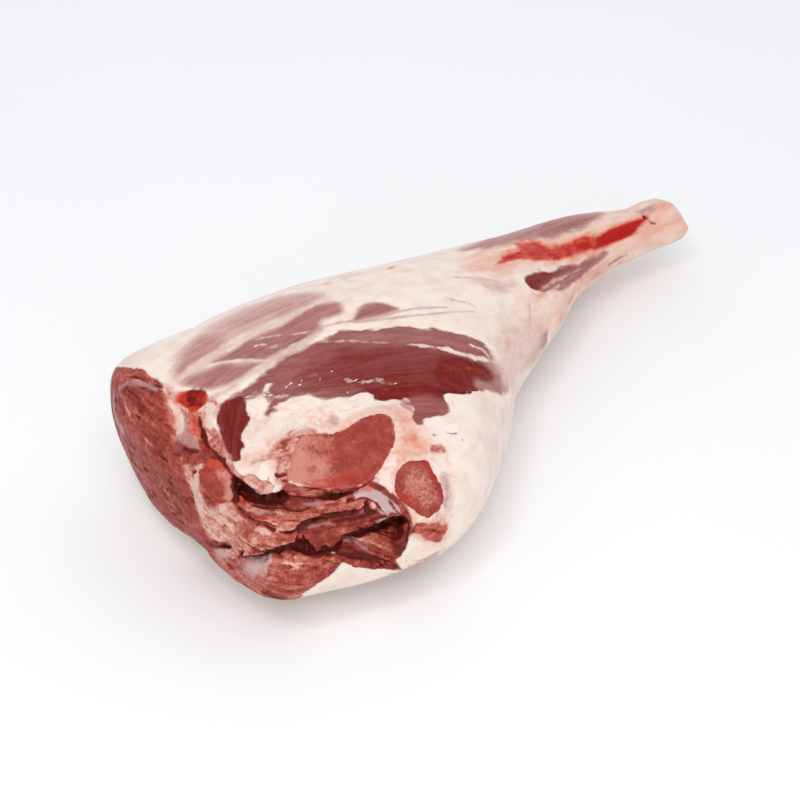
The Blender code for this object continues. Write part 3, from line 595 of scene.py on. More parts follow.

# strokes: the way they run, half their width, what the tissue is or the painted light and shade on it, and
# how far they stand up or sink
strokes = {
    "farSeam": dict(route=[(-189, 40, 97), (-170, 43, 99), (-156, 44, 101), (-138, 45, 102),
        (-118, 42, 104), (-95, 44, 104), (-80, 44, 103)], wide=2.8, soft=4, ragged=2, blur=1, lean=0.34),
    "mainSeam": dict(route=[(-188, 12, 95), (-182, 13, 97), (-172, 12, 99), (-159, 13, 101),
        (-143, 15, 103), (-129, 16, 104), (-119, 15, 105), (-110, 14, 106)],
        wide=2.6, soft=5, ragged=1.4, blur=1, lean=0.38, lift=1.0),
    "thinSeam": dict(route=[(-172, 37, 99), (-162, 32, 101), (-152, 24, 102), (-144, 16, 103)],
        wide=1.1, soft=2.6, ragged=0.8, lean=0.15, lift=0.5, blur=0.9),
    "thinSeamHigh": dict(route=[(-138, 37, 103), (-131, 34, 104), (-116, 24, 105), (-106, 20, 106)],
        wide=0.9, soft=1.8, ragged=1, blur=0.8, lean=0.4, lift=0.3),
    "whiteTongue": dict(route=[(-154, 1, 101), (-159, -3, 100), (-164, -8, 99), (-170, -13, 97)],
        wide=1.5, soft=2.4, ragged=1.2, blur=0.6, lean=0.1, lift=0.4),
    "paleStreak": dict(route=[(-72, -16, 103), (-60, -23, 99), (-49, -29, 96), (-41, -35, 92),
        (-29, -38, 85), (-15, -37, 74)], wide=1.8, soft=4, ragged=1.8, blur=1, lean=0.1, lift=0.4),
    "paleStreakFar": dict(route=[(-110, 10, 106), (-99, 3, 106), (-87, -6, 105), (-72, -16, 103)],
        wide=1.0, soft=3, ragged=1, blur=1, lean=0.5),
    "paleHook": dict(route=[(-29, -28, 89), (-22, -31, 84), (-19, -35, 79)],
        wide=1.2, soft=3, ragged=1, blur=1, lean=0.3),
    "redVeinInDeep": dict(route=[(-60, -42, 95), (-54, -43, 94), (-50, -46, 91), (-49, -50, 88)],
        wide=1.2, soft=2.6, ragged=1.6, blood=0.6, rawTone=0.27, lift=0.4),
    "redVeinFar": dict(route=[(-45, -44, 90), (-36, -45, 85), (-30, -47, 79)],
        wide=1.3, soft=2.8, ragged=1.6, blood=0.6, rawTone=0.27, lift=0.4),
    "darkInDeep": dict(route=[(-62, -47, 94), (-60, -52, 92), (-56, -56, 89)],
        wide=1.6, soft=3, ragged=1.6, blood=0.3, rawTone=0.1, lift=-0.8),
    "veilOnMuscle": dict(route=[(-151, -10, 100), (-142, -14, 101), (-135, -21, 101), (-129, -25, 101)],
        wide=2.4, soft=6, ragged=3, blur=1, lean=0.84),
    "veilFar": dict(route=[(-118, -31, 101), (-108, -36, 101), (-99, -44, 99)],
        wide=1.6, soft=5, ragged=3, blur=1, lean=0.85),
    # painted shadow under the torn edge of the deep end
    "shadowUnderDeepEnd": dict(route=[(-74, -57, 94), (-68, -59, 92), (-58, -61, 87), (-53, -60, 85)],
        wide=1.3, soft=1.6, lean=1, tone=0.95, lift=-1.4),
    "whiteUnderDeepEnd": dict(route=[(-73, -60, 92), (-67, -62, 90), (-59, -63, 86), (-50, -62, 82)],
        wide=2.0, soft=1.6, lean=0, lift=1.2),
    # the folds sink the fat into creases and darken them with mauve: painted shade in the creases
    "foldAboveMuscle": dict(route=[(-100, 21, 106), (-88, 17, 106), (-75, 10, 105), (-56, 5, 102),
        (-30, 0, 96), (-1, -3, 86)], wide=1.3, soft=3, ragged=0.3, blur=1, lean=0.85, tone=0.0, lift=-0.8),
    "foldHigher": dict(route=[(-86, 15, 106), (-67, 11, 104), (-53, 10, 102), (-36, 8, 98), (-20, 3, 94)],
        wide=1.2, soft=3, ragged=0.3, blur=1, lean=0.8, tone=0.05, lift=-0.7),
    "foldFar": dict(route=[(-15, 13, 93), (-10, 8, 91), (-3, 4, 88), (-1, 0, 87)],
        wide=1.0, soft=2.2, ragged=0.4, blur=1, lean=0.8, tone=0.0, lift=-0.6),
    "foldNearKnee": dict(route=[(4, 32, 89), (16, 28, 86), (28, 23, 82), (38, 16, 77)],
        wide=1.4, soft=3, ragged=0.4, blur=1, lean=0.7, tone=0.0, lift=-0.4),
    "lineOnRump": dict(route=[(-88, -80, 87), (-85, -82, 85), (-81, -82, 83)],
        wide=0.6, soft=1.4, lean=0.9, tone=0.3, lift=-0.8),
    "dotOnRump": dict(route=[(-81, -85, 81), (-79, -87, 79)],
        wide=0.7, soft=1.6, blur=1, lean=0.8, tone=0.2, lift=-0.5),
    "dotByMuscle": dict(route=[(-97, -79, 88), (-95, -80, 87)],
        wide=0.9, soft=1.8, blur=1, lean=0.8, tone=0.25, lift=-0.5),
    "flecksOnMuscle": dict(route=[(-149, -5, 101), (-144, -12, 101), (-137, -16, 101), (-130, -18, 102),
        (-122, -25, 101), (-114, -29, 101)], wide=4.5, soft=5, ragged=2, blur=0.45, lean=0.78),
    "flecksFar": dict(route=[(-117, -22, 102), (-111, -29, 102), (-103, -33, 101), (-97, -40, 100)],
        wide=1.8, soft=3, ragged=2, blur=0.45, lean=0.5),
    "flecksLeft": dict(route=[(-168, -1, 99), (-163, -1, 99), (-156, -9, 100), (-150, -13, 100)],
        wide=3, soft=4, ragged=2, blur=0.45, lean=0.6),
    "flecksInStrip": dict(route=[(-143, 34, 103), (-139, 31, 103), (-135, 25, 104), (-128, 23, 104)],
        wide=2.2, soft=3, ragged=1.5, blur=0.45, lean=0.6),
    "flecksMidMuscle": dict(route=[(-134, -2, 103), (-129, -10, 103), (-123, -16, 103), (-115, -20, 103)],
        wide=3, soft=4, ragged=2, blur=0.45, lean=0.72),
    "flecksOnFlap": dict(route=[(-99, -52, 98), (-98, -57, 96), (-99, -63, 95)],
        wide=3.5, soft=4, ragged=2, blur=0.45, lean=0.5),
    "lineOnButtRim": dict(route=[(-208, 80, 79), (-205, 65, 89), (-203, 51, 92), (-200, 42, 94)],
        wide=0.7, soft=1.3, rawTone=0.2, lift=-0.8),
    # painted sheen: silver colour laid where the cut face catches the light near its rim
    "sheenArcOnButt": dict(route=[(-214, 76, 71), (-211, 71, 81), (-207, 63, 88), (-205, 53, 91),
        (-203, 43, 93)], wide=2.0, soft=2.6, ragged=1.6, blur=0.8, silver=0.45),
    "sheenEdgeOfButt": dict(route=[(-212, 79, 73), (-215, 76, 66), (-219, 67, 62), (-221, 55, 61)],
        wide=3.0, soft=3.5, ragged=3, blur=0.7, silver=0.5),
    "paleLineOnButt": dict(route=[(-215, 64, 78), (-219, 50, 76), (-221, 36, 74), (-221, 20, 73)],
        wide=0.7, soft=1.4, ragged=1.5, rawTone=0.8),
    "redThread": dict(route=[(55, 43, 76), (63, 43, 73), (74, 46, 71)],
        wide=1.0, soft=1.8, ragged=1, blood=1, lift=-0.5),
    "redBlobNear": dict(route=[(79, 41, 69), (86, 40, 66), (92, 39, 64)],
        wide=2.0, soft=5, ragged=2, blood=0.88),
    "redBlobMiddle": dict(route=[(100, 40, 61), (109, 40, 58), (115, 41, 56)],
        wide=2.0, soft=5, ragged=2, blood=0.88),
    "redBlobUpper": dict(route=[(81, 51, 69), (86, 51, 68), (89, 48, 67)],
        wide=1.2, soft=4, ragged=1.5, blood=0.75),
    "redBlobFar": dict(route=[(122, 43, 56), (130, 44, 54), (136, 44, 52)],
        wide=1.8, soft=5, ragged=2, blood=1),
    # the hole is sunk and darkened with painted shade; under the nub is a painted shadow
    "holeInShank": dict(route=[(192, 53, 50), (192, 50, 49), (194, 48, 49)],
        wide=1.2, soft=1.8, raw=1, rawTone=0.3, lift=-2.2),
    "nubInShank": dict(route=[(195, 48, 48), (195, 45, 46)],
        wide=1.0, soft=1.4, peach=0.5, blood=0, raw=0, lift=0.6),
    "shadowUnderNub": dict(route=[(191, 47, 48), (193, 44, 46), (196, 42, 45)],
        wide=0.7, soft=1.6, blur=0.8, lean=1, tone=0.5, lift=-1.0),
    "peachAboveRed": dict(route=[(64, 56, 74), (74, 58, 71), (84, 59, 69), (96, 61, 66)],
        wide=2.4, soft=5, ragged=3, peach=0.9),
    "peachLowOnShank": dict(route=[(26, 40, 83), (37, 40, 80), (43, 33, 78), (49, 28, 76)],
        wide=3.4, soft=6, ragged=4, peach=0.7),
    # painted shade along and under the end of the tendon
    "shadeByTendon": dict(route=[(147, 38, 32), (158, 39, 32), (167, 40, 32)],
        wide=1.6, soft=3.6, ragged=1.2, blur=0.8, lean=0.9, tone=0.2, lift=-0.8),
    "shadowUnderTendon": dict(route=[(157, 40, 26), (167, 40, 28), (174, 40, 29)],
        wide=0.7, soft=3, ragged=1, blur=0.8, lean=0.8, tone=0.2, lift=-0.6),
    "tendon": dict(route=[(72, 5, 47), (87, 14, 47), (110, 26, 41), (133, 35, 38), (151, 39, 38),
        (169, 40, 38)], wide=3.0, soft=4, lean=0, peach=0.75, lift=0.9),
    "tendonShade": dict(route=[(86, 12, 42), (106, 23, 38), (128, 33, 34), (145, 38, 34)],
        wide=0.9, soft=2.2, ragged=1.2, blur=0.8, lean=0.7, tone=0.1, lift=-0.5),
    "tendonPeach": dict(route=[(75, 6, 40), (96, 17, 39), (123, 31, 32), (143, 38, 31), (162, 40, 32)],
        wide=2.0, soft=3, ragged=2, peach=1),
    "orangeByCalf": dict(route=[(53, 10, 68), (59, 9, 63), (67, 12, 61)],
        wide=1.8, soft=4, ragged=2, peach=0.9),
    "orangeInCalf": dict(route=[(68, 15, 63), (74, 17, 61)], wide=1.0, soft=1.4, lean=0, peach=1),
    "strandOverCalf": dict(route=[(59, 11, 65), (75, 18, 61), (94, 25, 54), (114, 31, 48)],
        wide=0.7, soft=2.2, ragged=1.4, lean=0.2, blur=0.8, peach=0.9, lift=0.4),
    "strandOverCalfLow": dict(route=[(74, 14, 58), (91, 21, 53), (110, 28, 47)],
        wide=0.5, soft=2.0, ragged=1.2, lean=0.3, blur=0.8, peach=0.8, lift=0.3),
    "orangeOnKnee": dict(route=[(6, -20, 71), (7, -23, 67)], wide=3.2, soft=4, peach=0.8),
    "kneeLine": dict(route=[(46, 4, 67), (41, -3, 63), (36, -9, 59)],
        wide=1.4, soft=3, blur=1, lean=0.7, tone=0, lift=-0.5),
    "orangeOnBack": dict(route=[(-26, 58, 93), (-19, 62, 90)], wide=1.6, soft=2.6, peach=1),
    "orangeOnFarFat": dict(route=[(-71, 66, 97), (-66, 63, 97)], wide=2.6, soft=4, peach=0.6),
    "orangeOnFarEdge": dict(route=[(-54, 67, 94), (-42, 66, 93)], wide=2.2, soft=4, peach=0.6),
}

# the same for the open side
openStrokes = {
    "seamUnderLobe": dict(route=[(-186, 10, 96), (-191, 7, 94), (-194, 2, 93), (-197, -4, 91)],
        wide=2.4, soft=2, ragged=1.5, blur=0.5, raw=0, lean=0, silver=0.35, lift=0.6),
    "markOnPatch": dict(route=[(-187, -53, 89), (-186, -56, 89), (-182, -58, 90)],
        wide=0.7, soft=1.3, raw=1, rawTone=0.35, lift=-0.9),
    "markOnPatchLow": dict(route=[(-193, -51, 88), (-191, -54, 88)],
        wide=0.8, soft=1.3, raw=1, rawTone=0.25, lift=-0.9),
    "whitePatchByIsland": dict(route=[(-193, -45, 89), (-192, -49, 89), (-190, -52, 89)],
        wide=5.5, soft=3, ragged=2, blur=0.5, raw=0, lean=0, peach=0, lift=0.8),
    "whiteByPubic": dict(route=[(-125, -77, 92), (-129, -84, 88), (-135, -87, 83), (-137, -93, 77)],
        wide=2.4, soft=2, ragged=1.5, raw=0, peach=0.1, lift=0.3),
    "bloodInSlabCorner": dict(route=[(-150, -84, 83), (-145, -84, 84), (-141, -85, 84)],
        wide=1.4, soft=2, ragged=1, blood=0.85, lift=-0.8),
    "redUnderSlab": dict(route=[(-160, -82, 82), (-154, -84, 82), (-149, -86, 81), (-145, -88, 79)],
        wide=2.4, soft=2.4, ragged=1.5, blood=0.55),
    "dotRedByIschium": dict(route=[(-131, -95, 78), (-130, -99, 74), (-128, -103, 70)],
        wide=2.0, soft=1.5, ragged=1, blood=1),
    # painted shade in the sunken channel: near-black raw tone, with no blood in it
    "shadeInChannel": dict(route=[(-196, 9, 92), (-199, 3, 91), (-201, -4, 89), (-203, -10, 88),
        (-203, -16, 88), (-203, -23, 88)],
        wide=0.8, soft=1.6, ragged=0.8, blur=0.2, raw=1, rawTone=0.05, blood=0, peach=0, lift=-1.8),
    "shadeInChannelLow": dict(route=[(-203, -21, 88), (-203, -27, 88), (-204, -34, 87), (-204, -40, 85),
        (-202, -47, 84), (-200, -54, 83)],
        wide=1.5, soft=1.8, ragged=0.9, blur=0.2, raw=1, rawTone=0.05, blood=0, peach=0, lift=-2.2),
    "ridgeAlongChannel": dict(route=[(-201, -26, 89), (-202, -32, 88), (-202, -39, 86), (-200, -46, 85),
        (-198, -52, 85)], wide=1.4, soft=1.6, ragged=1, blur=0.4, raw=1, rawTone=0.86, lift=0.8),
    "redByChannel": dict(route=[(-204, -4, 88), (-205, -11, 87), (-205, -18, 87), (-204, -24, 88)],
        wide=1.6, soft=2, ragged=1.2, raw=1, rawTone=0.34, blood=0.2),
    # painted shade in the channel by the lobe and in the slit by the ilium
    "shadeInChannelByLobe": dict(route=[(-212, 1, 84), (-211, -3, 84), (-209, -9, 85)],
        wide=0.8, soft=1.6, ragged=0.8, raw=1, rawTone=0.15, lift=-1.4),
    "slitByIlium": dict(route=[(-216, -14, 77), (-215, -17, 80), (-214, -18, 82)],
        wide=0.8, soft=1.3, raw=1, rawTone=0.1, lift=-1.2),
    "greyLineInChannel": dict(route=[(-198, 21, 93), (-201, 17, 91), (-204, 13, 89)],
        wide=0.8, soft=1.4, blur=0.6, lean=0.9, tone=0.2, lift=-0.6),
    "iliumRim": dict(route=[(-206, -32, 86), (-206, -37, 85), (-208, -41, 81), (-210, -44, 78)],
        wide=1.0, soft=2.4, ragged=1, raw=1, rawTone=0.93, blood=0, peach=0, blur=0.6, lift=0.6),
    "whiteByIlium": dict(route=[(-212, -18, 84), (-215, -18, 80), (-217, -19, 74), (-219, -23, 69),
        (-219, -28, 64)],
        wide=1.6, soft=2, ragged=1.2, blur=0.6, silver=0.6, raw=1, rawTone=0.95, lift=0.4),
    "sheathEdge": dict(route=[(-216, -12, 78), (-219, -17, 72), (-220, -23, 65), (-220, -28, 55),
        (-219, -35, 48), (-217, -42, 45)], wide=1.2, soft=1.5, ragged=0.6, raw=1, rawTone=1, lift=0.7),
    # painted shade in the hole beside the ilium
    "shadeInHoleByIlium": dict(route=[(-205, -39, 85), (-206, -43, 82), (-209, -46, 79), (-210, -48, 76)],
        wide=3.2, soft=2, ragged=1.2, raw=1, rawTone=0.05, lift=-2.5),
    "bloodInHole": dict(route=[(-208, -47, 79), (-206, -48, 80), (-207, -51, 79)],
        wide=2.0, soft=2, ragged=1.5, blood=0.6),
    # painted shadow under the membrane lip
    "shadowUnderMembrane": dict(route=[(-204, -45, 82), (-203, -51, 81), (-199, -59, 81), (-194, -64, 82),
        (-188, -68, 83)], wide=3.4, soft=2.2, ragged=1.5, raw=1, rawTone=0.02, lift=-3.0),
    "membraneTan": dict(route=[(-200, -43, 86), (-199, -49, 85), (-198, -53, 84), (-195, -57, 85),
        (-192, -59, 86)], wide=4.6, soft=2, ragged=1.2, blur=0.4, raw=1, rawTone=0.93, lift=0.8),
    "membraneBrown": dict(route=[(-187, -63, 86), (-183, -68, 86), (-177, -73, 85), (-171, -77, 84),
        (-164, -79, 84)], wide=3.6, soft=2, ragged=1.5, raw=1, rawTone=0.66, lift=0.3),
    # painted shadow under the slab
    "shadowUnderSlab": dict(route=[(-175, -78, 82), (-170, -79, 82), (-164, -81, 82), (-157, -83, 82),
        (-152, -84, 82)], wide=1.6, soft=2.2, ragged=1.5, raw=1, rawTone=0.02, lift=-2.4),
    "slabShadow": dict(route=[(-186, -59, 88), (-181, -65, 88), (-175, -72, 86), (-169, -77, 85)],
        wide=0.8, soft=1.2, rawTone=0.3, lift=-1.0),
    # painted highlights along the raised streaks of torn meat, with a painted shadow under them
    "highlightStreakTorn": dict(route=[(-207, -61, 72), (-204, -66, 73), (-202, -70, 73), (-200, -73, 73)],
        wide=1.0, soft=1.6, ragged=1, rawTone=1, lift=0.6),
    "highlightStreakLow": dict(route=[(-207, -63, 66), (-205, -68, 67), (-203, -72, 68)],
        wide=1.6, soft=1.8, ragged=1.4, rawTone=1, lift=0.3),
    "highlightStreakRight": dict(route=[(-201, -74, 70), (-199, -76, 71), (-198, -77, 70)],
        wide=1.2, soft=1.6, ragged=1, rawTone=1, lift=0.3),
    "shadowUnderStreak": dict(route=[(-205, -66, 71), (-203, -71, 70), (-201, -74, 70)],
        wide=0.9, soft=1.4, ragged=0.6, rawTone=0.2, lift=-1.0),
    "silkOnTorn": dict(route=[(-208, -55, 75), (-204, -62, 76), (-199, -68, 78), (-194, -74, 78)],
        wide=0.8, soft=2.4, ragged=1.8, blur=0.5, silver=0.5, lift=0.3),
    "silkOnTornFar": dict(route=[(-188, -71, 81), (-182, -76, 80), (-175, -80, 80), (-169, -82, 79)],
        wide=0.7, soft=2.2, ragged=1.8, blur=0.5, silver=0.45, lift=0.3),
    "silkOnChunk": dict(route=[(-187, -83, 70), (-182, -84, 70), (-176, -86, 70), (-171, -89, 67)],
        wide=0.7, soft=2.2, ragged=1.6, blur=0.5, silver=0.4, lift=0.3),
    "redBandOnTorn": dict(route=[(-210, -49, 72), (-208, -56, 71), (-206, -62, 74), (-203, -67, 75)],
        wide=1.6, soft=3, ragged=2.2, blur=0.4, rawTone=0.42, blood=0.35),
    # painted shade in the cavity and in the slit by the strand: sunk, with near-black raw tone
    "cavityShade": dict(route=[(-151, -90, 76), (-153, -92, 73), (-152, -94, 70), (-149, -95, 70)],
        wide=1.3, soft=1.4, rawTone=0.0, lift=-2.2),
    "nubInCavity": dict(route=[(-150, -92, 74), (-147, -93, 73)],
        wide=2.0, soft=1.4, rawTone=0.88, lift=1.2),
    "slitByStrand": dict(route=[(-162, -86, 78), (-159, -86, 78), (-157, -87, 77)],
        wide=1.0, soft=1.2, rawTone=0.05, lift=-1.6),
    "whiteArch": dict(route=[(-156, -85, 80), (-151, -87, 80), (-146, -90, 78), (-143, -94, 74),
        (-140, -98, 71), (-137, -101, 67)], wide=3.0, soft=2, ragged=1.5, blur=0.3, silver=1, lift=0.5),
    "whiteTail": dict(route=[(-137, -102, 65), (-141, -99, 63), (-146, -98, 63), (-150, -97, 62),
        (-154, -96, 61)], wide=1.8, soft=1.8, ragged=1.2, blur=0.2, silver=1, lift=0.4),
    "whiteInner": dict(route=[(-145, -92, 76), (-143, -95, 72), (-143, -98, 67)],
        wide=3.6, soft=2.4, ragged=1.5, blur=0.4, silver=0.9),
    "crackInWhite": dict(route=[(-140, -95, 74), (-139, -99, 70), (-137, -102, 66)],
        wide=0.6, soft=1.1, silver=0, raw=1, rawTone=0.4, lift=-0.8),
    "whiteLineInPocket": dict(route=[(-170, -93, 58), (-165, -95, 57), (-162, -98, 53), (-158, -100, 50)],
        wide=0.9, soft=1.4, ragged=0.6, silver=0.9, lift=0.6),
    # painted shade: each crevice is sunk and its raw tone set near black
    "creviceUnderTorn": dict(route=[(-205, -74, 55), (-200, -79, 60), (-195, -82, 61), (-191, -85, 60),
        (-187, -89, 57), (-180, -92, 56), (-176, -93, 56), (-172, -93, 57)],
        wide=2.5, soft=2.2, ragged=1.5, raw=1, rawTone=0, lift=-3.0),
    "creviceUnderLip": dict(route=[(-213, -59, 45), (-211, -65, 47), (-208, -70, 50), (-206, -72, 54)],
        wide=1.6, soft=2.2, ragged=1.5, raw=1, rawTone=0.05, lift=-1.8),
    "creviceUnderStrip": dict(route=[(-177, -93, 55), (-171, -96, 51), (-163, -100, 47), (-156, -102, 42),
        (-149, -104, 37), (-142, -104, 30)], wide=1.5, soft=2.2, ragged=1.5, raw=1, rawTone=0, lift=-2.2),
    "creviceOverPocket": dict(route=[(-169, -92, 61), (-161, -95, 60), (-154, -96, 60), (-146, -98, 60),
        (-142, -99, 62), (-137, -102, 62), (-134, -105, 59)],
        wide=1.9, soft=2.2, ragged=1.5, raw=1, rawTone=0, silver=0, lift=-2.6),
    "creviceOverChunk": dict(route=[(-192, -82, 69), (-188, -82, 72), (-183, -83, 73), (-177, -84, 74),
        (-171, -86, 73), (-164, -89, 72), (-157, -91, 71)],
        wide=1.2, soft=1.5, ragged=1.2, rawTone=0.12, lift=-1.8),
    "creviceUnderStrand": dict(route=[(-173, -87, 70), (-166, -89, 69), (-160, -92, 69), (-153, -94, 69)],
        wide=0.9, soft=1.3, ragged=0.6, rawTone=0.12, lift=-1.3),
    # painted shade in the line by the lip and in the hole by the nub
    "lineByLip": dict(route=[(-219, -34, 36), (-217, -42, 42), (-215, -48, 45)],
        wide=0.9, soft=1.2, raw=1, rawTone=0, lift=-1.4),
    "holeByNub": dict(route=[(-213, -55, 46), (-213, -58, 46)],
        wide=1.8, soft=1.2, raw=1, rawTone=0, lift=-2.0),
    "paleNub": dict(route=[(-215, -50, 43), (-215, -53, 41)],
        wide=2.6, soft=1.5, raw=1, rawTone=0.95, lift=0.8),
    "paleRing": dict(route=[(-209, -70, 49), (-206, -73, 53), (-206, -75, 51), (-208, -73, 46),
        (-209, -74, 41)], wide=1.0, soft=1.6, ragged=1, silver=0.85),
    "nubByStrip": dict(route=[(-177, -93, 55), (-176, -94, 53)],
        wide=1.4, soft=1.2, rawTone=0.95, lift=0.8),
    "fleckLine": dict(route=[(-202, -82, 53), (-197, -87, 52), (-192, -90, 52), (-188, -92, 51)],
        wide=0.8, soft=1.5, ragged=1.6, rawTone=0.95),
    "fleckLineLow": dict(route=[(-202, -84, 48), (-197, -88, 50), (-193, -91, 50)],
        wide=0.6, soft=1.4, ragged=1.6, rawTone=0.9),
    "redEdgeOfLobe": dict(route=[(-203, -79, 19), (-201, -87, 29), (-200, -90, 33)],
        wide=1.0, soft=1.6, blood=0.5),
    "brownUnderLobe": dict(route=[(-209, -68, 23), (-206, -76, 24), (-203, -85, 26)],
        wide=2.4, soft=2, rawTone=0.4),
    "stripUnderPocket": dict(route=[(-174, -97, 49), (-167, -99, 45), (-160, -101, 41), (-152, -103, 38),
        (-144, -104, 31)], wide=2.2, soft=1.6, ragged=1.4, raw=1, rawTone=0.52),
    # painted shade in the slit
    "rumpSlit": dict(route=[(-125, -108, 53), (-120, -109, 50), (-115, -110, 46)],
        wide=0.7, soft=1.4, raw=1, rawTone=0.3, lift=-0.9),
}

# lips: edges of the layers of torn meat, how high and wide they stand, how deep and wide the gap is, and the
# tone of the painted highlight along the edge
lips = {
    "membrane": dict(route=[(-202, -44, 84), (-201, -50, 83), (-200, -55, 82), (-195, -60, 84),
        (-191, -63, 85), (-188, -64, 86)], high=1.4, wide=4, deep=2.5, gap=2.6, edge=0.97),
    "membraneFar": dict(route=[(-188, -64, 86), (-186, -69, 84), (-181, -73, 83), (-176, -77, 83),
        (-168, -79, 83)], high=0.8, wide=3, deep=0.8, gap=1.4, edge=0.6),
    "slab": dict(route=[(-185, -59, 88), (-180, -67, 87), (-173, -74, 86), (-165, -80, 83), (-157, -83, 82),
        (-150, -84, 82), (-142, -85, 84)], high=0.5, wide=2, deep=0.8, gap=1.0, edge=0.82),
    "topBand": dict(route=[(-205, -56, 78), (-201, -62, 79), (-194, -69, 80), (-188, -75, 79),
        (-180, -79, 79)], high=1.0, wide=4, deep=0.8, gap=1.6, edge=0.5),
    "middleMass": dict(route=[(-208, -57, 72), (-206, -62, 72), (-203, -68, 73), (-200, -73, 72)],
        high=0.9, wide=4, deep=0.7, gap=1.4, edge=0.95),
    "middleMassFar": dict(route=[(-200, -75, 70), (-196, -79, 70), (-192, -80, 71), (-187, -81, 74),
        (-181, -83, 75), (-175, -85, 73), (-171, -86, 73)], high=1.4, wide=6, deep=1.5, gap=2.2, edge=0.78),
    "tongueTip": dict(route=[(-212, -53, 55), (-210, -58, 55), (-208, -64, 54), (-206, -70, 56),
        (-202, -76, 59), (-199, -79, 62), (-195, -81, 63), (-192, -82, 67)],
        high=1.8, wide=6, deep=2.0, gap=2.4, edge=0.97),
    "secondLip": dict(route=[(-214, -53, 47), (-213, -58, 46), (-211, -63, 48), (-209, -68, 51),
        (-206, -71, 54), (-204, -72, 56)], high=1.2, wide=3.5, deep=1.8, gap=2.0, edge=0.82),
    "chunk": dict(route=[(-189, -83, 67), (-188, -85, 62), (-186, -89, 58), (-183, -90, 57),
        (-180, -90, 59), (-177, -92, 57), (-173, -92, 58), (-170, -92, 60)],
        high=1.5, wide=5, deep=2.0, gap=2.2, edge=0.75),
    "upperStrand": dict(route=[(-177, -83, 75), (-170, -86, 75), (-164, -88, 74), (-157, -90, 73),
        (-153, -91, 74)], high=1.0, wide=4, deep=1.4, gap=1.6, edge=0.72),
    "smoothFlap": dict(route=[(-170, -92, 62), (-163, -94, 62), (-156, -95, 61), (-149, -97, 62)],
        high=1.0, wide=4, deep=1.4, gap=2.0, edge=0.75),
    "arch": dict(route=[(-157, -87, 78), (-152, -88, 78), (-148, -91, 76), (-146, -94, 72), (-144, -98, 68)],
        high=0.7, wide=2.5, deep=0.6, gap=1.4, edge=0.9),
    "pocketEdge": dict(route=[(-135, -103, 63), (-133, -105, 59), (-134, -106, 53), (-136, -107, 46),
        (-139, -106, 40)], high=0.0, wide=1, deep=1.6, gap=1.4, edge=0.8, side=(-1, 0, 0)),
    "stripTop": dict(route=[(-166, -97, 53), (-159, -100, 48), (-152, -103, 43), (-144, -105, 35)],
        high=0.8, wide=2.5, deep=1.2, gap=1.4, edge=0.7),
}

tissueNames = ["lean", "tone", "raw", "rawTone", "blood", "peach", "silver", "blur", "fascia"]
widerNames = ["tone", "rawTone", "blur"]  # these reach a little past the edge of a patch
tissueStart = {"tone": 0.3, "rawTone": 0.45, "blur": 0.3}
legFibre = unit((1, 0.1, -0.08))  # muscle runs down the leg where nothing else is said

skinRelief = {
    "fatLump": 0.4, "fatLumpSize": 13,  # soft unevenness of the fat
    "fatWrinkle": 0.12, "fatWrinkleSize": 4,
    "leanRib": 0.14,  # ribs of the muscle under its skin
    "fasciaLump": 0.7, "fasciaLumpSize": 8, "fasciaCrease": 0.4, "fasciaCreaseSize": 4,
    "rawCrack": 0.85, "rawCrackAlong": 15, "rawCrackAcross": 3.4,  # open grain of cut muscle
    "rawLump": 0.5, "rawLumpSize": 9,
    "tornFold": 0.8, "tornFoldAlong": 22, "tornFoldAcross": 4,  # layers of torn muscle
}


def layTissue(tissue, entry, amount, wide):
    for name in tissueNames:
        if name in entry:
            share = wide if name in widerNames else amount
            tissue[name] += (entry[name] - tissue[name]) * share


hiddenSides = {
    "streakLong": 60, "streakWide": 22, "lean": 0.75, "tone": 0.12,  # muscle under the fat, on the underside
    "warmPatch": 34, "warm": 0.5, "shankWarm": 0.4,  # peach tint of the fat, more of it on the shank
}


def markHiddenSides(points, normals, tissue):
    # soft muscle showing through the fat on the sides that nothing else covers
    look = hiddenSides
    below = smoothStep(0.1, -0.5, normals[:, 2])
    run = alongFibres(points, legFibre, look["streakLong"] * mm, look["streakWide"] * mm)
    streaks = cloudSum(run, 1, 40)
    showing = smoothStep(0.1, 0.75, streaks) * below * smoothStep(0.2, 0.1, points[:, 0])
    tissue["lean"] = np.maximum(tissue["lean"], showing * look["lean"])
    tissue["tone"] += (look["tone"] + 0.1 * streaks - tissue["tone"]) * (showing > 0.01)
    warm = smoothStep(0.15, 0.9, cloudSum(points, look["warmPatch"] * mm, 50)) * look["warm"]
    shank = smoothStep(0.03, 0.17, points[:, 0])
    peach = warm * (0.45 + 0.55 * shank) + look["shankWarm"] * shank
    tissue["peach"] = np.maximum(tissue["peach"], peach)


def layAreas(group, facing, points, normals, tissue, fibre, origin):
    lift = np.zeros(len(points))
    for index, area in enumerate(group.values()):
        reach = area.get("reach", 28) * mm
        distance, middle = outlineDistance(points, normals, area["outline"], reach, facing)
        near = distance > -far
        run = unit(area.get("fibre", legFibre))
        ragged = cloudSum(alongFibres(points[near], run, 11 * mm, 5 * mm), 1, index, 4)
        distance[near] += ragged * area["ragged"] * mm
        soft = area["soft"] * mm
        amount = smoothStep(-soft, soft, distance)
        layTissue(tissue, area, amount, smoothStep(-1.5 * soft, 0.2 * soft, distance))
        lift += area.get("lift", 0) * mm * smoothStep(-0.7 * soft, 0.7 * soft, distance)
        if "fibre" in area:
            inside = distance > 0
            fibre[inside] = run
            origin[inside] = middle
    return lift


def taperOf(share):
    return np.sqrt(np.clip(1 - abs(2 * share - 1) ** 5, 0.02, 1))


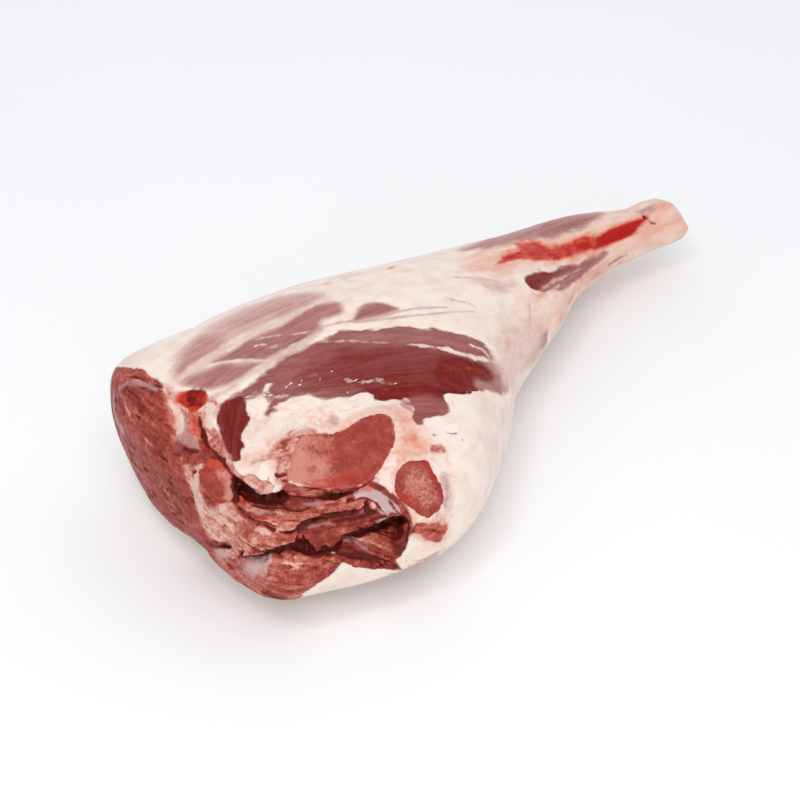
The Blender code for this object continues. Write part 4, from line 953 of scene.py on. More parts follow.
def layStrokes(group, facing, points, tissue):
    lift = np.zeros(len(points))
    for index, stroke in enumerate(group.values()):
        wide = stroke["wide"] * mm
        soft = stroke["soft"] * mm
        distance, share = routeDistance(points, stroke["route"], wide + 2 * soft, facing)[:2]
        near = distance < far
        distance[near] += cloudSum(points[near], 4 * mm, 60 + index) * stroke.get("ragged", 0.6) * mm
        taper = taperOf(share)
        amount = smoothStep(wide * taper + soft / 2, wide * taper - soft / 2, distance)
        if stroke["wide"] < 1.5:
            stroke = {"blur": 0.5, **stroke}
        layTissue(tissue, stroke, amount, amount)
        lift += stroke.get("lift", 0) * mm * smoothStep(wide + 0.7 * soft, 0, distance) * taper
    return lift


# width of the painted highlight along the edge of a lip, how pale it gets, and how dark the painted shadow in
# the gap under it
lipLightAndShade = {"highlightWidth": 1.8, "pale": 0.75, "dark": 0.9}


def layLips(points, tissue):
    # each layer of torn meat ends in a raised edge with a painted highlight along its top, over a sunken gap
    # darkened with painted shadow
    lift = np.zeros(len(points))
    for index, lip in enumerate(lips.values()):
        wide = lip["wide"] * mm
        gap = lip["gap"] * mm
        reach = 1.3 * max(wide, gap)
        distance, share, beyond = routeDistance(points, lip["route"], reach, openSide, lip.get("side", hangs))
        near = np.nonzero(distance < far)[0]
        away = distance[near]
        taper = taperOf(share[near])
        wobble = 0.7 * mm * cloudSum(points[near], 4 * mm, 100 + index)
        above = smoothStep(0.4 * mm, -0.4 * mm, beyond[near] + wobble)
        under = (1 - above) * smoothStep(gap * taper, 0.3 * gap * taper, away)
        lift[near] += lip["high"] * mm * above * smoothStep(wide, 0, away) * taper
        lift[near] -= lip["deep"] * mm * under
        # painted highlight: the tone goes pale along the top of the edge
        edge = above * smoothStep(lipLightAndShade["highlightWidth"] * mm, 0.5 * mm, away) * taper
        tone = tissue["rawTone"]
        tone[near] += (lip["edge"] - tone[near]) * edge * lipLightAndShade["pale"]
        # painted shadow in the gap: darker tone, no silver or peach, and all raw
        tone[near] -= tone[near] * under * lipLightAndShade["dark"]
        for name in ("silver", "peach"):
            tissue[name][near] *= 1 - under
        tissue["raw"][near] = np.maximum(tissue["raw"][near], under)
    return lift


boneSocket = {
    "reach": 12,  # how far round a bone the meat is moved
    "under": 2.4,  # how far under the bone's face the meat lies
    "lowest": -1, "highest": 4,  # limits of the move round it
}


def seatBones(points, normals):
    # bring the skin round each bone up to its face, and keep it under the bone inside
    socket = {name: size * mm for name, size in boneSocket.items()}
    shift = np.zeros_like(points)
    for index, (name, bone) in enumerate(boneFaces.items()):
        seat = boneSeat(name)
        distance = outlineDistance(points, normals, bone["outline"], 14 * mm)[0]
        height = (points - seat["middle"]) @ seat["looks"]
        close = (distance > -socket["reach"]) & (normals @ seat["looks"] > 0.15)
        wobble = cloudSum(points, 5 * mm, 80 + index)
        outside = seat["top"] + (bone["lip"] + 0.5 * wobble) * mm
        inside = seat["top"] - socket["under"]
        edge = smoothStep(1.6 * mm, 0.2 * mm, distance + wobble * 0.8 * mm)
        hold = smoothStep(-9 * mm, -1 * mm, distance)
        move = np.where(close, (inside + (outside - inside) * edge - height) * hold, 0)
        gentle = np.clip(move, socket["lowest"], socket["highest"])
        shift += np.where(distance < 0, gentle, move)[:, None] * seat["looks"]
    return shift


# inside of the clefts, darkened with painted shade: a line down the middle of each, and half its width
cleftInsides = [
    ([(-196, 16, 87), (-199, -6, 82), (-199, -29, 78), (-193, -51, 75), (-178, -66, 74), (-155, -77, 74),
      (-134, -82, 76)], 5.5),
    ([(-194, 19, 82), (-195, -2, 77), (-195, -25, 73), (-189, -46, 70), (-174, -61, 69),
      (-151, -72, 69)], 9.0),
    ([(-214, -28, 38), (-210, -51, 46), (-203, -67, 55), (-188, -82, 60), (-166, -93, 55),
      (-142, -101, 40)], 5.0),
    ([(-208, -22, 36), (-204, -44, 44), (-197, -60, 53), (-182, -75, 58), (-160, -86, 53),
      (-136, -94, 38)], 9.0),
    ([(-168, -84, 59), (-150, -88, 57), (-134, -92, 51)], 9.0),
]


def paintShadeInClefts(points, tissue):
    for index, (route, wide) in enumerate(cleftInsides):
        uneven = 0.8 * mm * cloudSum(points, 5 * mm, 90 + index)
        distance = routeDistance(points, route, 3 * wide * mm)[0] + uneven
        inside = smoothStep((wide + 1.5) * mm, (wide - 1.5) * mm, distance)
        # painted shade: inside each cleft the meat turns raw and its tone is pulled towards near black
        tissue["raw"] = np.maximum(tissue["raw"], inside)
        tissue["rawTone"] -= (tissue["rawTone"] - 0.12) * inside * 0.8


def sculptLeg(leg):
    writePoints(leg, readPoints(leg) + seatBones(readPoints(leg), readNormals(leg)))
    points = readPoints(leg)
    normals = readNormals(leg)
    tissue = {name: np.full(len(points), tissueStart.get(name, 0.0)) for name in tissueNames}
    fibre = np.tile(legFibre, (len(points), 1))
    origin = np.zeros_like(points)
    markHiddenSides(points, normals, tissue)
    paintShadeInClefts(points, tissue)
    lift = layAreas(areas, None, points, normals, tissue, fibre, origin)
    lift += layAreas(openAreas, openSide, points, normals, tissue, fibre, origin)
    lift += layStrokes(strokes, None, points, tissue)
    lift += layStrokes(openStrokes, openSide, points, tissue)
    lift += layLips(points, tissue)

    relief = {name: size * mm for name, size in skinRelief.items()}
    raw = tissue["raw"]
    lean = np.minimum(tissue["lean"], 1 - raw)
    fat = 1 - np.maximum(lean, raw)
    lift += fat * relief["fatLump"] * cloudSum(points, relief["fatLumpSize"], 1)
    wrinkle = relief["fatWrinkleSize"]
    wrinkles = cloudSum(alongFibres(points, fibre, 2.2 * wrinkle, wrinkle), 1, 4)
    lift += fat * relief["fatWrinkle"] * wrinkles
    ribs = cloudSum(alongFibres(points, fibre, 25 * mm, 2.4 * mm), 1, 8, 2)
    lift += lean * relief["leanRib"] * ribs
    fascia = tissue["fascia"] * (1 - raw)
    crease = abs(cloudSum(points, relief["fasciaCreaseSize"], 25))
    lift += fascia * relief["fasciaLump"] * cloudSum(points, relief["fasciaLumpSize"], 24)
    lift -= fascia * relief["fasciaCrease"] * smoothStep(0.25, 0, crease)
    inCreases = smoothStep(0.3, 0, crease) * smoothStep(-0.3, 0.5, cloud(points, 9 * mm, 26))
    tissue["peach"] += fascia * 0.45 * inCreases
    grain = cloudSum(alongFibres(points, fibre, relief["rawCrackAlong"], relief["rawCrackAcross"]), 1, 12, 2)
    broken = smoothStep(-0.05, 0.35, cloudSum(points, 7 * mm, 14, 2))
    crack = smoothStep(0.16, 0.02, abs(grain)) * broken
    lift += raw * relief["rawLump"] * cloudSum(points, relief["rawLumpSize"], 16)
    lift += raw * relief["rawCrack"] * (0.3 * grain - crack)
    torn = outlineDistance(points, normals, openAreas["tornMuscle"]["outline"], 50 * mm, openSide)[0]
    torn = smoothStep(-1 * mm, 4 * mm, torn)
    folds = cloudSum(alongFibres(points, fibre, relief["tornFoldAlong"], relief["tornFoldAcross"]), 1, 20)
    lift += torn * relief["tornFold"] * folds
    # painted light and shade on the raw meat: the grain and the torn folds are paler where they stand up, and
    # the cracks darker
    tissue["rawTone"] += raw * (0.1 * grain - 0.26 * crack) + torn * 0.08 * folds
    points = points + normals * lift[:, None]
    points[:, 2] = np.maximum(points[:, 2], legSizes["lowest"] * mm)
    writePoints(leg, points)

    side = unit(np.cross(fibre, (0.1, 0.2, 0.97)))
    up = np.cross(side, fibre)
    offset = points - origin
    spots = np.stack([(offset * axis).sum(axis=1) for axis in (fibre, side, up)], axis=1)
    for name in tissueNames:
        writeAmount(leg, name, np.clip(tissue[name], 0, 1))
    writeAmount(leg, "grain", spots)
    return tissue


def thinFaces(leg, tissue):
    # fewer faces where the tissue hardly changes, above all on the sides that lie or look away
    ends = np.empty(2 * len(leg.data.edges), np.int64)
    leg.data.edges.foreach_get("vertices", ends)
    first, second = ends.reshape(-1, 2).T
    change = np.zeros(len(leg.data.vertices))
    for name in tissueNames:
        step = abs(tissue[name][first] - tissue[name][second])
        np.maximum.at(change, first, step)
        np.maximum.at(change, second, step)
    calm = smoothStep(0.16, 0.02, change) * (1 - 0.5 * np.clip(tissue["raw"], 0, 1))
    group = leg.vertex_groups.new(name="calm")
    levels = np.round(calm * 8).astype(int)
    for level in range(9):
        group.add(np.nonzero(levels == level)[0].tolist(), max(level / 8, 0.02), "REPLACE")
    leg.data.calc_loop_triangles()
    share = legSizes["mostTriangles"] / len(leg.data.loop_triangles)
    applyModifier(leg, "DECIMATE", decimate_type="COLLAPSE", ratio=share, vertex_group="calm",
                  vertex_group_factor=1.0)
    leg.vertex_groups.clear()


# sawn bones: each is a slab of open spongy bone, seated where the frame's bone is

boneFaces = {
    "pubic_bone": dict(outline=[(-184, -61, 88), (-176, -53, 92), (-164, -45, 96), (-155, -48, 97),
        (-148, -53, 98), (-139, -55, 99), (-130, -54, 98), (-122, -55, 98), (-116, -58, 98),
        (-114, -63, 97), (-117, -71, 96), (-122, -77, 93), (-128, -80, 91), (-135, -83, 88),
        (-147, -86, 85), (-158, -84, 85), (-167, -79, 86), (-177, -72, 88), (-183, -67, 88)],
        piece="pubicBone", voxel=0.9, spongy=0.22, pores=2.0, lip=-0.5, deep=8, pale=(-0.92, 0.35, 0.15),
        paleFrom=-0.1, paleTo=0.9, granular=0.3, rim=3.0, rimPale=0.5),
    "ischium_bone": dict(outline=[(-135, -94, 78), (-131, -89, 83), (-126, -88, 86), (-120, -88, 87),
        (-115, -90, 86), (-110, -91, 84), (-109, -96, 80), (-108, -102, 73), (-110, -107, 67),
        (-113, -109, 64), (-118, -110, 63), (-123, -110, 62), (-127, -108, 65), (-131, -104, 69),
        (-135, -99, 74)],
        piece="ischiumBone", voxel=0.8, spongy=0.5, pores=2.4, lip=-0.2, deep=7, pale=None, granular=1.0,
        rim=1.2, rimPale=0.2),
    "ilium_bone": dict(outline=[(-214, -18, 82), (-211, -23, 85), (-208, -29, 87), (-206, -36, 87),
        (-208, -41, 82), (-211, -45, 77), (-215, -40, 72), (-217, -33, 72), (-218, -26, 74), (-217, -20, 78)],
        piece="iliumBone", voxel=0.8, spongy=0.35, pores=2.2, lip=-0.3, deep=7, pale=(0.5, -0.4, 0.4),
        paleFrom=0.0, paleTo=0.5, granular=0.3, rim=2.0, rimPale=0.7),
}


insideThigh = np.array((-100, 20, 40)) * mm  # a place that the faces of the bones look away from


def boneSeat(name):
    # middle of a bone of the frame, the way its face looks, and how high the face stands over the middle
    points = np.unique(readPoints(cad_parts[name]).round(6), axis=0)
    middle = points.mean(axis=0)
    looks = np.linalg.svd(points - middle, full_matrices=False)[2][2]
    if looks @ (middle - insideThigh) < 0:
        looks = -looks
    return {"middle": middle, "looks": looks, "top": ((points - middle) @ looks).max()}


def buildBone(name):
    look = boneFaces[name]
    seat = boneSeat(name)
    curve = curveThrough(look["outline"], closed=True, steps=6)
    curve += seat["looks"] * (seat["top"] - (curve - seat["middle"]) @ seat["looks"])[:, None]
    bpy.ops.object.select_all(action="DESELECT")
    bpy.ops.mesh.primitive_circle_add(vertices=len(curve), radius=0.02, fill_type="NGON")
    bone = bpy.context.object
    bone.name = look["piece"]
    writePoints(bone, curve)
    bpy.ops.object.mode_set(mode="EDIT")
    bpy.ops.mesh.select_all(action="SELECT")
    inwards = tuple(-seat["looks"] * look["deep"] * mm)
    bpy.ops.mesh.extrude_region_move(TRANSFORM_OT_translate={"value": inwards})
    bpy.ops.mesh.select_all(action="SELECT")
    bpy.ops.mesh.normals_make_consistent(inside=False)
    bpy.ops.object.mode_set(mode="OBJECT")
    applyModifier(bone, "REMESH", mode="VOXEL", voxel_size=look["voxel"] * mm, use_smooth_shade=True)
    applyModifier(bone, "SMOOTH", factor=0.5, iterations=3)
    points = readPoints(bone)
    normals = readNormals(bone)
    inward = outlineDistance(points, np.tile(seat["looks"], (len(points), 1)), look["outline"])[0]
    face = smoothStep(0.5, 0.9, normals @ seat["looks"])
    shift = face * look["spongy"] * mm * cloudSum(points, look["pores"] * mm, 5)
    shift += face * 0.5 * mm * cloudSum(points, 12 * mm, 6)
    shift -= face * 1.0 * mm * smoothStep(3 * mm, 0, inward)
    writePoints(bone, points + normals * shift[:, None])
    blotch = cloudSum(points, 9 * mm, 9)
    reach = abs(points - seat["middle"]).max()
    if look["pale"]:
        run = (points - seat["middle"]) @ unit(look["pale"]) / reach + 0.3 * blotch
        pale = smoothStep(look["paleFrom"], look["paleTo"], run)
    else:
        pale = 0.5 * smoothStep(1.5 * mm, 7 * mm, inward + 3 * mm * blotch)
    rim = smoothStep(look["rim"] * mm, 0, inward + 1.5 * mm * blotch)
    writeAmount(bone, "pale", np.clip(np.maximum(pale, look["rimPale"] * rim), 0, 1))
    writeAmount(bone, "granular", pale * look["granular"])
    fatty = np.zeros(len(points))
    for route, wide in boneFat.get(name, []):
        distance = routeDistance(points, route, 3 * wide * mm)[0] + 0.8 * mm * cloudSum(points, 3 * mm, 13)
        fatty = np.maximum(fatty, smoothStep(wide * 1.5 * mm, 0.5 * wide * mm, distance))
    writeAmount(bone, "fatty", fatty)
    blood = np.zeros(len(points))
    for route, wide in boneBlood.get(name, []):
        distance = routeDistance(points, route, 3 * wide * mm)[0] + 0.8 * mm * cloudSum(points, 3 * mm, 11)
        blood = np.maximum(blood, smoothStep(wide * 1.6 * mm, 0.2 * wide * mm, distance))
    writeAmount(bone, "blood", blood)
    return bone


# blood along the edges of the bones: the way it runs and half its width
boneBlood = {
    "pubic_bone": [([(-178, -71, 88), (-167, -78, 86), (-159, -82, 84), (-152, -84, 85), (-143, -84, 86),
                     (-132, -82, 88)], 2.4),
                   ([(-173, -71, 88), (-163, -76, 87), (-153, -79, 87)], 2.6)],
    "ischium_bone": [([(-137, -95, 76), (-132, -98, 74), (-127, -102, 69)], 3.2),
                     ([(-113, -93, 83), (-110, -99, 77), (-110, -105, 70)], 2.4),
                     ([(-136, -92, 80), (-134, -95, 77)], 2.0)],
    "ilium_bone": [([(-207, -24, 86), (-210, -25, 85), (-212, -22, 83)], 2.0),
                   ([(-216, -40, 72), (-213, -43, 74), (-215, -36, 73)], 1.2)],
}


# fat lying on the bones: the way it runs and half its width
boneFat = {
    "pubic_bone": [([(-184, -64, 89), (-181, -68, 88), (-176, -73, 87)], 1.0)],
}


# crumbs of fat left on the muscle: place on the leg seen from above, length, width and turn
crumbs = [
    (-141, 33, 3.4, 1.6, 8), (-138, 30, 2.6, 1.5, -15), (-127, 17, 1.8, 1.0, 12),
    (-158, -7, 3.4, 1.5, 0), (-154, -10, 2.2, 1.2, 20), (-167, 1, 3.4, 1.3, 4),
    (-147, -6, 2.0, 1.0, 5), (-143, -7, 2.8, 1.3, -8), (-140, -10, 2.0, 1.6, 10), (-137, -9, 1.6, 1.0, 40),
    (-128, -14, 1.8, 0.9, 0), (-119, -13, 1.8, 0.8, -14), (-112, -27, 3.4, 0.9, -14),
    (-94, -40, 3.0, 0.8, -16), (-121, -31, 1.6, 0.9, -10),
]


crumbLook = {
    "seed": 4, "halfHigh": 0.45,
    "astray": 1, "turned": 25,  # how far a crumb strays from its place and turn
    "lumpy": 0.6, "bent": 0.35,  # how uneven it is, as shares of its size
}


def buildCrumbs(leg):
    chance = random.Random(crumbLook["seed"])
    astray = crumbLook["astray"]
    turned = crumbLook["turned"]
    made = []
    for index, (x, y, length, width, turn) in enumerate(crumbs):
        bpy.ops.object.select_all(action="DESELECT")
        bpy.ops.mesh.primitive_ico_sphere_add(subdivisions=3, radius=1)
        crumb = bpy.context.object
        x += chance.uniform(-astray, astray)
        y += chance.uniform(-astray, astray)
        above = Vector((x, y, 300)) * mm
        place, normal = leg.ray_cast(above, Vector((0, 0, -1)))[1:3]
        points = readPoints(crumb)
        points *= 1 + crumbLook["lumpy"] * cloudSum(points + index * 5, 1.1, 3)[:, None]
        bends = [cloud(points + index * 3, 0.8, axis) for axis in (5, 6, 7)]
        points += crumbLook["bent"] * np.stack(bends, axis=1)
        crumb.data.vertices.foreach_set("co", points.ravel())
        length *= chance.uniform(0.7, 1.1)
        width *= chance.uniform(0.6, 1.1)
        turn = math.radians(turn + chance.uniform(-turned, turned))
        along = Vector((math.cos(turn), math.sin(turn), 0))
        side = normal.cross(along).normalized()
        lying = Matrix((side.cross(normal), side, normal)).transposed().to_4x4()
        sizes = Matrix.Diagonal((length / 2 * mm, width / 2 * mm, crumbLook["halfHigh"] * mm, 1))
        crumb.data.transform(Matrix.Translation(place) @ lying @ sizes)
        made.append(crumb)
    pick(made[0])
    for crumb in made:
        crumb.select_set(True)
    bpy.ops.object.join()
    made[0].name = "fatCrumbs"
    bpy.ops.object.shade_smooth()
    return made[0]


# finishes

def node(tree, kind, sockets=None, **settings):
    made = tree.nodes.new("ShaderNode" + kind)
    for name, value in settings.items():
        setattr(made, name, value)
    for name, value in (sockets or {}).items():
        if isinstance(value, bpy.types.NodeSocket):
            tree.links.new(value, made.inputs[name])
        else:
            made.inputs[name].default_value = value
    return made


def mixColour(tree, share, first, second, blend="MIX"):
    made = node(tree, "Mix", {0: share, 6: first, 7: second}, data_type="RGBA", blend_type=blend)
    return made.outputs[2]


def sums(tree, operation, first, second, third=0.0, clamp=False):
    made = node(tree, "Math", {0: first, 1: second, 2: third}, operation=operation, use_clamp=clamp)
    return made.outputs[0]


def ranged(tree, value, low, high, to=(0.0, 1.0)):
    made = node(tree, "MapRange", {"Value": value, "From Min": low, "From Max": high,
                                   "To Min": to[0], "To Max": to[1]}, interpolation_type="SMOOTHSTEP")
    return made.outputs["Result"]


def amountOf(tree, name):
    return node(tree, "Attribute", attribute_name=name).outputs["Fac"]


def noiseOn(tree, coordinates, scale, detail=3.0, roughness=0.55):
    # scale in waves per metre, or three of them for streaks
    if not isinstance(scale, tuple):
        scale = (scale,) * 3
    moved = node(tree, "Mapping", {"Vector": coordinates, "Scale": scale}).outputs[0]
    return node(tree, "TexNoise", {"Vector": moved, "Scale": 1.0, "Detail": detail,
                                   "Roughness": roughness}).outputs["Fac"]


def rampOf(tree, value, stops):
    ramp = node(tree, "ValToRGB", {0: value})
    bar = ramp.color_ramp.elements
    while len(bar) < len(stops):
        bar.new(0.5)
    for stop, (place, colour) in zip(bar, stops):
        stop.position = place
        stop.color = (*colour, 1)
    return ramp.outputs["Color"]


def newFinish(name, shine):
    material = bpy.data.materials.new(name)
    material.use_nodes = True
    tree = material.node_tree
    tree.nodes.clear()
    shader = node(tree, "BsdfPrincipled", shine)
    node(tree, "OutputMaterial", {"Surface": shader.outputs[0]})
    return material, tree, shader


fleshColours = {
    "fat": (0.87, 0.74, 0.65), "fatShade": (0.79, 0.62, 0.54), "fatFleck": (0.70, 0.42, 0.34),
    "fatMauve": (0.66, 0.49, 0.45),
    "peach": (0.74, 0.31, 0.20), "silver": (0.60, 0.46, 0.44),
    "blood": (0.45, 0.009, 0.005), "bloodThin": (0.69, 0.070, 0.034), "bloodDark": (0.17, 0.004, 0.002),
    "lean": [(0.0, (0.66, 0.46, 0.41)), (0.25, (0.47, 0.245, 0.225)), (0.5, (0.315, 0.104, 0.096)),
             (0.72, (0.225, 0.040, 0.034)), (0.88, (0.18, 0.009, 0.006)), (1.0, (0.09, 0.003, 0.002))],
    "raw": [(0.0, (0.095, 0.012, 0.008)), (0.22, (0.12, 0.009, 0.006)), (0.42, (0.235, 0.027, 0.018)),
            (0.6, (0.36, 0.060, 0.040)), (0.8, (0.56, 0.19, 0.14)), (1.0, (0.73, 0.46, 0.38))],
}


# grain of the flesh: waves per metre, layers of detail, and roughness where it isn't the usual one
fleshGrain = {
    "streak": ((40.0, 620.0, 620.0), 4),  # fibres
    "streakWide": ((20.0, 170.0, 170.0), 3),  # bundles of fibres
    "ragged": ((110.0, 300.0, 300.0), 5, 0.68),  # frayed edges
    "speck": (900.0, 3, 0.65), "mottle": (260.0, 4, 0.65), "turmoil": (130.0, 6, 0.72),
    "blotch": (75.0, 4), "wide": (26.0, 3, 0.6),
}


fleshShine = {
    "Specular IOR Level": 0.07, "Coat Weight": 0.13, "Coat Roughness": 0.13,
    "Subsurface Weight": 0.08, "Subsurface Radius": (1.0, 0.4, 0.25), "Subsurface Scale": 2 * mm,
}


def fleshFinish():
    material, tree, shader = newFinish("lambFlesh", fleshShine)
    place = node(tree, "TexCoord").outputs["Object"]
    grain = node(tree, "Attribute", attribute_name="grain").outputs["Vector"]
    streak, streakWide, ragged = (noiseOn(tree, grain, *fleshGrain[name])
                                  for name in ("streak", "streakWide", "ragged"))
    speck, mottle, turmoil, blotch, wide = (noiseOn(tree, place, *fleshGrain[name])
                                            for name in ("speck", "mottle", "turmoil", "blotch", "wide"))
    blur = amountOf(tree, "blur")

    def edged(name, shake=0.9, least=0.05):
        # an amount from the mesh, with its edge broken up finely, and softer where the blur is more
        share = sums(tree, "MULTIPLY_ADD", blur, -0.65 * shake, shake)
        shaken = sums(tree, "MULTIPLY_ADD", sums(tree, "SUBTRACT", ragged, 0.5), share, amountOf(tree, name))
        half = sums(tree, "MULTIPLY_ADD", blur, 0.42, least)
        return ranged(tree, shaken, sums(tree, "SUBTRACT", 0.5, half), sums(tree, "ADD", 0.5, half))

    def shadeOf(colours, tone, *shares):
        value = amountOf(tree, tone)
        for noise, share in shares:
            value = sums(tree, "MULTIPLY_ADD", noise, share, sums(tree, "SUBTRACT", value, share / 2))
        return rampOf(tree, value, fleshColours[colours])

    def plain(name):
        return (*fleshColours[name], 1)

    fat = mixColour(tree, ranged(tree, blotch, 0.4, 0.75), plain("fat"), plain("fatShade"))
    fat = mixColour(tree, ranged(tree, wide, 0.48, 0.78, (0.0, 0.55)), fat, plain("fatMauve"))
    fat = mixColour(tree, ranged(tree, streakWide, 0.52, 0.8, (0.0, 0.4)), fat, plain("fatMauve"))
    fat = mixColour(tree, ranged(tree, speck, 0.62, 0.85, (0.0, 0.25)), fat, plain("fatFleck"))
    peach = ranged(tree, streakWide, 0.2, 0.8, (0.45, 1.1))
    peach = sums(tree, "MULTIPLY", amountOf(tree, "peach"), peach, clamp=True)
    fat = mixColour(tree, peach, fat, plain("peach"))
    fascia = amountOf(tree, "fascia")
    fat = mixColour(tree, sums(tree, "MULTIPLY", fascia, ranged(tree, turmoil, 0.5, 0.72, (0.0, 0.75))), fat,
                    plain("peach"))
    fat = mixColour(tree, sums(tree, "MULTIPLY", fascia, ranged(tree, turmoil, 0.42, 0.3, (0.0, 0.6))), fat,
                    plain("silver"))
    lean = shadeOf("lean", "tone", (streak, 0.3), (streakWide, 0.35), (mottle, 0.14), (speck, 0.16))
    raw = shadeOf("raw", "rawTone", (streak, 0.4), (streakWide, 0.42), (mottle, 0.65), (speck, 0.5))
    colour = mixColour(tree, edged("lean", 1.5), fat, lean)
    colour = mixColour(tree, edged("raw", 1.3), colour, raw)
    silver = sums(tree, "MULTIPLY", edged("silver", 0.9, 0.3), 0.8)
    colour = mixColour(tree, silver, colour, plain("silver"))
    bloodShare = edged("blood", 0.9, 0.3)
    thick = sums(tree, "MULTIPLY_ADD", sums(tree, "SUBTRACT", blotch, 0.5), 0.7, amountOf(tree, "blood"))
    blood = mixColour(tree, ranged(tree, thick, 0.62, 0.95), plain("bloodThin"), plain("blood"))
    blood = mixColour(tree, ranged(tree, streakWide, 0.5, 0.75, (0.0, 0.5)), blood, plain("bloodDark"))
    clotted = sums(tree, "MULTIPLY_ADD", sums(tree, "SUBTRACT", mottle, 0.5), 0.5, amountOf(tree, "rawTone"))
    blood = mixColour(tree, ranged(tree, clotted, 0.2, 0.42), plain("bloodDark"), blood)
    colour = mixColour(tree, bloodShare, colour, blood)
    tree.links.new(colour, shader.inputs["Base Color"])

    rough = ranged(tree, streakWide, 0.2, 0.8, (0.36, 0.55))
    rough = sums(tree, "MULTIPLY_ADD", bloodShare, -0.15, rough)
    tree.links.new(rough, shader.inputs["Roughness"])
    height = sums(tree, "MULTIPLY_ADD", streak, edged("raw"), sums(tree, "MULTIPLY", speck, 0.35))
    height = sums(tree, "MULTIPLY_ADD", streakWide, 0.6, height)
    height = sums(tree, "MULTIPLY_ADD", sums(tree, "MULTIPLY", mottle, 1.6), amountOf(tree, "raw"), height)
    bump = node(tree, "Bump", {"Height": height, "Strength": 0.55, "Distance": 0.5 * mm})
    tree.links.new(bump.outputs[0], shader.inputs["Normal"])
    return material


boneColours = {
    "marrow": (0.29, 0.027, 0.016), "marrowLight": (0.40, 0.062, 0.040), "marrowDark": (0.19, 0.015, 0.009),
    "pale": (0.60, 0.215, 0.15), "fleck": (0.68, 0.36, 0.29), "fat": (0.76, 0.56, 0.48),
    "blood": (0.47, 0.014, 0.008),
}


boneShine = {
    "Specular IOR Level": 0.16, "Coat Weight": 0.2, "Coat Roughness": 0.18,
    "Subsurface Weight": 0.06, "Subsurface Radius": (1.0, 0.4, 0.25), "Subsurface Scale": 2 * mm,
}


def boneFinish():
    material, tree, shader = newFinish("sawnBone", boneShine)
    place = node(tree, "TexCoord").outputs["Object"]
    pores = noiseOn(tree, place, 520.0, 5, 0.72)
    blotch = noiseOn(tree, place, 120.0, 5, 0.62)
    cells = node(tree, "TexVoronoi", {"Vector": place, "Scale": 420.0}, feature="DISTANCE_TO_EDGE")
    cells = cells.outputs["Distance"]

    def plain(name):
        return (*boneColours[name], 1)

    def shaken(name, share):
        value = sums(tree, "MULTIPLY_ADD", sums(tree, "SUBTRACT", pores, 0.5), share, amountOf(tree, name))
        return sums(tree, "MULTIPLY_ADD", sums(tree, "SUBTRACT", blotch, 0.5), share, value)

    colour = mixColour(tree, ranged(tree, blotch, 0.35, 0.68), plain("marrow"), plain("marrowLight"))
    colour = mixColour(tree, ranged(tree, pores, 0.52, 0.72, (0.0, 0.4)), colour, plain("pale"))
    colour = mixColour(tree, ranged(tree, pores, 0.44, 0.30, (0.0, 0.5)), colour, plain("marrowDark"))
    colour = mixColour(tree, ranged(tree, shaken("pale", 0.8), 0.2, 0.9), colour, plain("pale"))
    fleck = sums(tree, "MULTIPLY", ranged(tree, cells, 0.2, 0.02), ranged(tree, pores, 0.4, 0.6))
    fleck = sums(tree, "MULTIPLY", amountOf(tree, "granular"), fleck)
    colour = mixColour(tree, fleck, colour, plain("fleck"))
    colour = mixColour(tree, ranged(tree, shaken("fatty", 1.2), 0.3, 0.85), colour, plain("fat"))
    blood = ranged(tree, shaken("blood", 1.6), 0.25, 1.0, (0.0, 0.62))
    colour = mixColour(tree, blood, colour, plain("blood"))
    tree.links.new(colour, shader.inputs["Base Color"])
    tree.links.new(ranged(tree, pores, 0.3, 0.7, (0.42, 0.6)), shader.inputs["Roughness"])
    height = sums(tree, "MULTIPLY_ADD", sums(tree, "MULTIPLY", cells, amountOf(tree, "granular")), 2.5, pores)
    bump = node(tree, "Bump", {"Height": height, "Strength": 0.8, "Distance": 0.5 * mm})
    tree.links.new(bump.outputs[0], shader.inputs["Normal"])
    return material


crumbColours = [(0.80, 0.63, 0.56, 1), (0.66, 0.40, 0.35, 1)]


def crumbFinish():
    shine = {"Subsurface Weight": 0.15, "Subsurface Scale": 2 * mm}
    material, tree, shader = newFinish("fatCrumb", shine)
    place = node(tree, "TexCoord").outputs["Object"]
    speck = noiseOn(tree, place, 700.0, 3)
    colour = mixColour(tree, ranged(tree, speck, 0.35, 0.75), *crumbColours)
    tree.links.new(colour, shader.inputs["Base Color"])
    tree.links.new(ranged(tree, speck, 0.2, 0.8, (0.3, 0.5)), shader.inputs["Roughness"])
    bump = node(tree, "Bump", {"Height": speck, "Strength": 0.4, "Distance": 0.3 * mm})
    tree.links.new(bump.outputs[0], shader.inputs["Normal"])
    return material


def floorFinish():
    material, tree, shader = newFinish("paleFloor", {"Roughness": 0.9})
    place = node(tree, "TexCoord").outputs["Object"]
    mottle = noiseOn(tree, place, 3.0, 2)
    colour = mixColour(tree, mottle, (0.90, 0.90, 0.90, 1), (0.93, 0.93, 0.93, 1))
    tree.links.new(colour, shader.inputs["Base Color"])
    return material


# the leg

leg = buildLeg()
print("leg: remeshed,", len(leg.data.polygons), "faces")
refineDetail(leg)
print("leg: refined,", len(leg.data.polygons), "faces")
thinFaces(leg, sculptLeg(leg))
print("leg: thinned,", len(leg.data.polygons), "faces")
leg.data.materials.clear()
leg.data.materials.append(fleshFinish())
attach(leg, legSizes["body"])
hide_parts("leg_meat")
print("leg: finished")

boneMaterial = boneFinish()
for name in boneFaces:
    bone = buildBone(name)
    bone.data.materials.clear()
    bone.data.materials.append(boneMaterial)
    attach(bone, legSizes["body"])
    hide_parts(name)
print("bones: done")

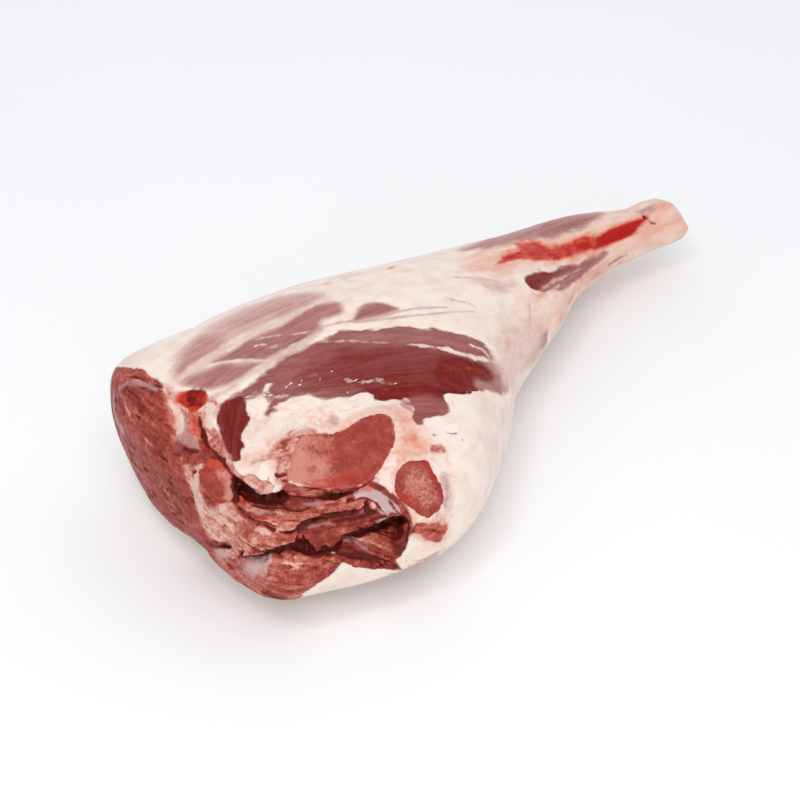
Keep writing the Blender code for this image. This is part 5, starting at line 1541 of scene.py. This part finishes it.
crumbPiece = buildCrumbs(leg)
crumbPiece.data.materials.append(crumbFinish())
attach(crumbPiece, legSizes["body"])
print("crumbs: done")

# floor, light and camera

studio = {
    "floorSize": 8.0, "floorDrop": 0.0002,  # the floor lies a hair under the leg
    "world": (0.95, 0.97, 1.0), "worldStrength": 0.84,
    "key": dict(size=0.9, power=2.85, place=(-0.35, -0.35, 1.1)),
    "fill": dict(size=0.8, power=1.3, place=(-0.45, -0.8, 0.22)),
    "spark": dict(size=0.16, power=0.75, place=(-0.45, -0.1, 1.0)),
    "rim": dict(size=1.2, power=1.0, place=(0.5, 0.9, 0.9)),
    "target": (-0.0605, 0.0, 0.0422), "azimuth": -37, "elevation": 40, "distance": 1.097, "lens": 80,
}

bpy.ops.object.select_all(action="DESELECT")
bpy.ops.mesh.primitive_plane_add(size=studio["floorSize"], location=(0, 0, -studio["floorDrop"]))
floor = bpy.context.object
floor.name = "paleFloor"
floor.data.materials.append(floorFinish())

world = bpy.data.worlds.new("softStudio")
bpy.context.scene.world = world
world.use_nodes = True
world.node_tree.nodes["Background"].inputs["Color"].default_value = (*studio["world"], 1)
world.node_tree.nodes["Background"].inputs["Strength"].default_value = studio["worldStrength"]

target = Vector(studio["target"])
for name in ("key", "fill", "spark", "rim"):
    light = studio[name]
    bpy.ops.object.light_add(type="AREA", location=light["place"])
    lamp = bpy.context.object
    lamp.name = name + "Light"
    lamp.data.shape = "DISK"
    lamp.data.size = light["size"]
    lamp.data.energy = light["power"]
    lamp.rotation_euler = (target - lamp.location).to_track_quat("-Z", "Y").to_euler()

azimuth = math.radians(studio["azimuth"])
elevation = math.radians(studio["elevation"])
back = Vector((math.sin(azimuth) * math.cos(elevation), -math.cos(azimuth) * math.cos(elevation),
               math.sin(elevation)))
bpy.ops.object.camera_add(location=target + back * studio["distance"])
camera = bpy.context.object
camera.rotation_euler = (-back).to_track_quat("-Z", "Y").to_euler()
camera.data.lens = studio["lens"]
bpy.context.scene.camera = camera
bpy.context.scene.view_settings.view_transform = "Standard"
print("floor, light and camera: done")
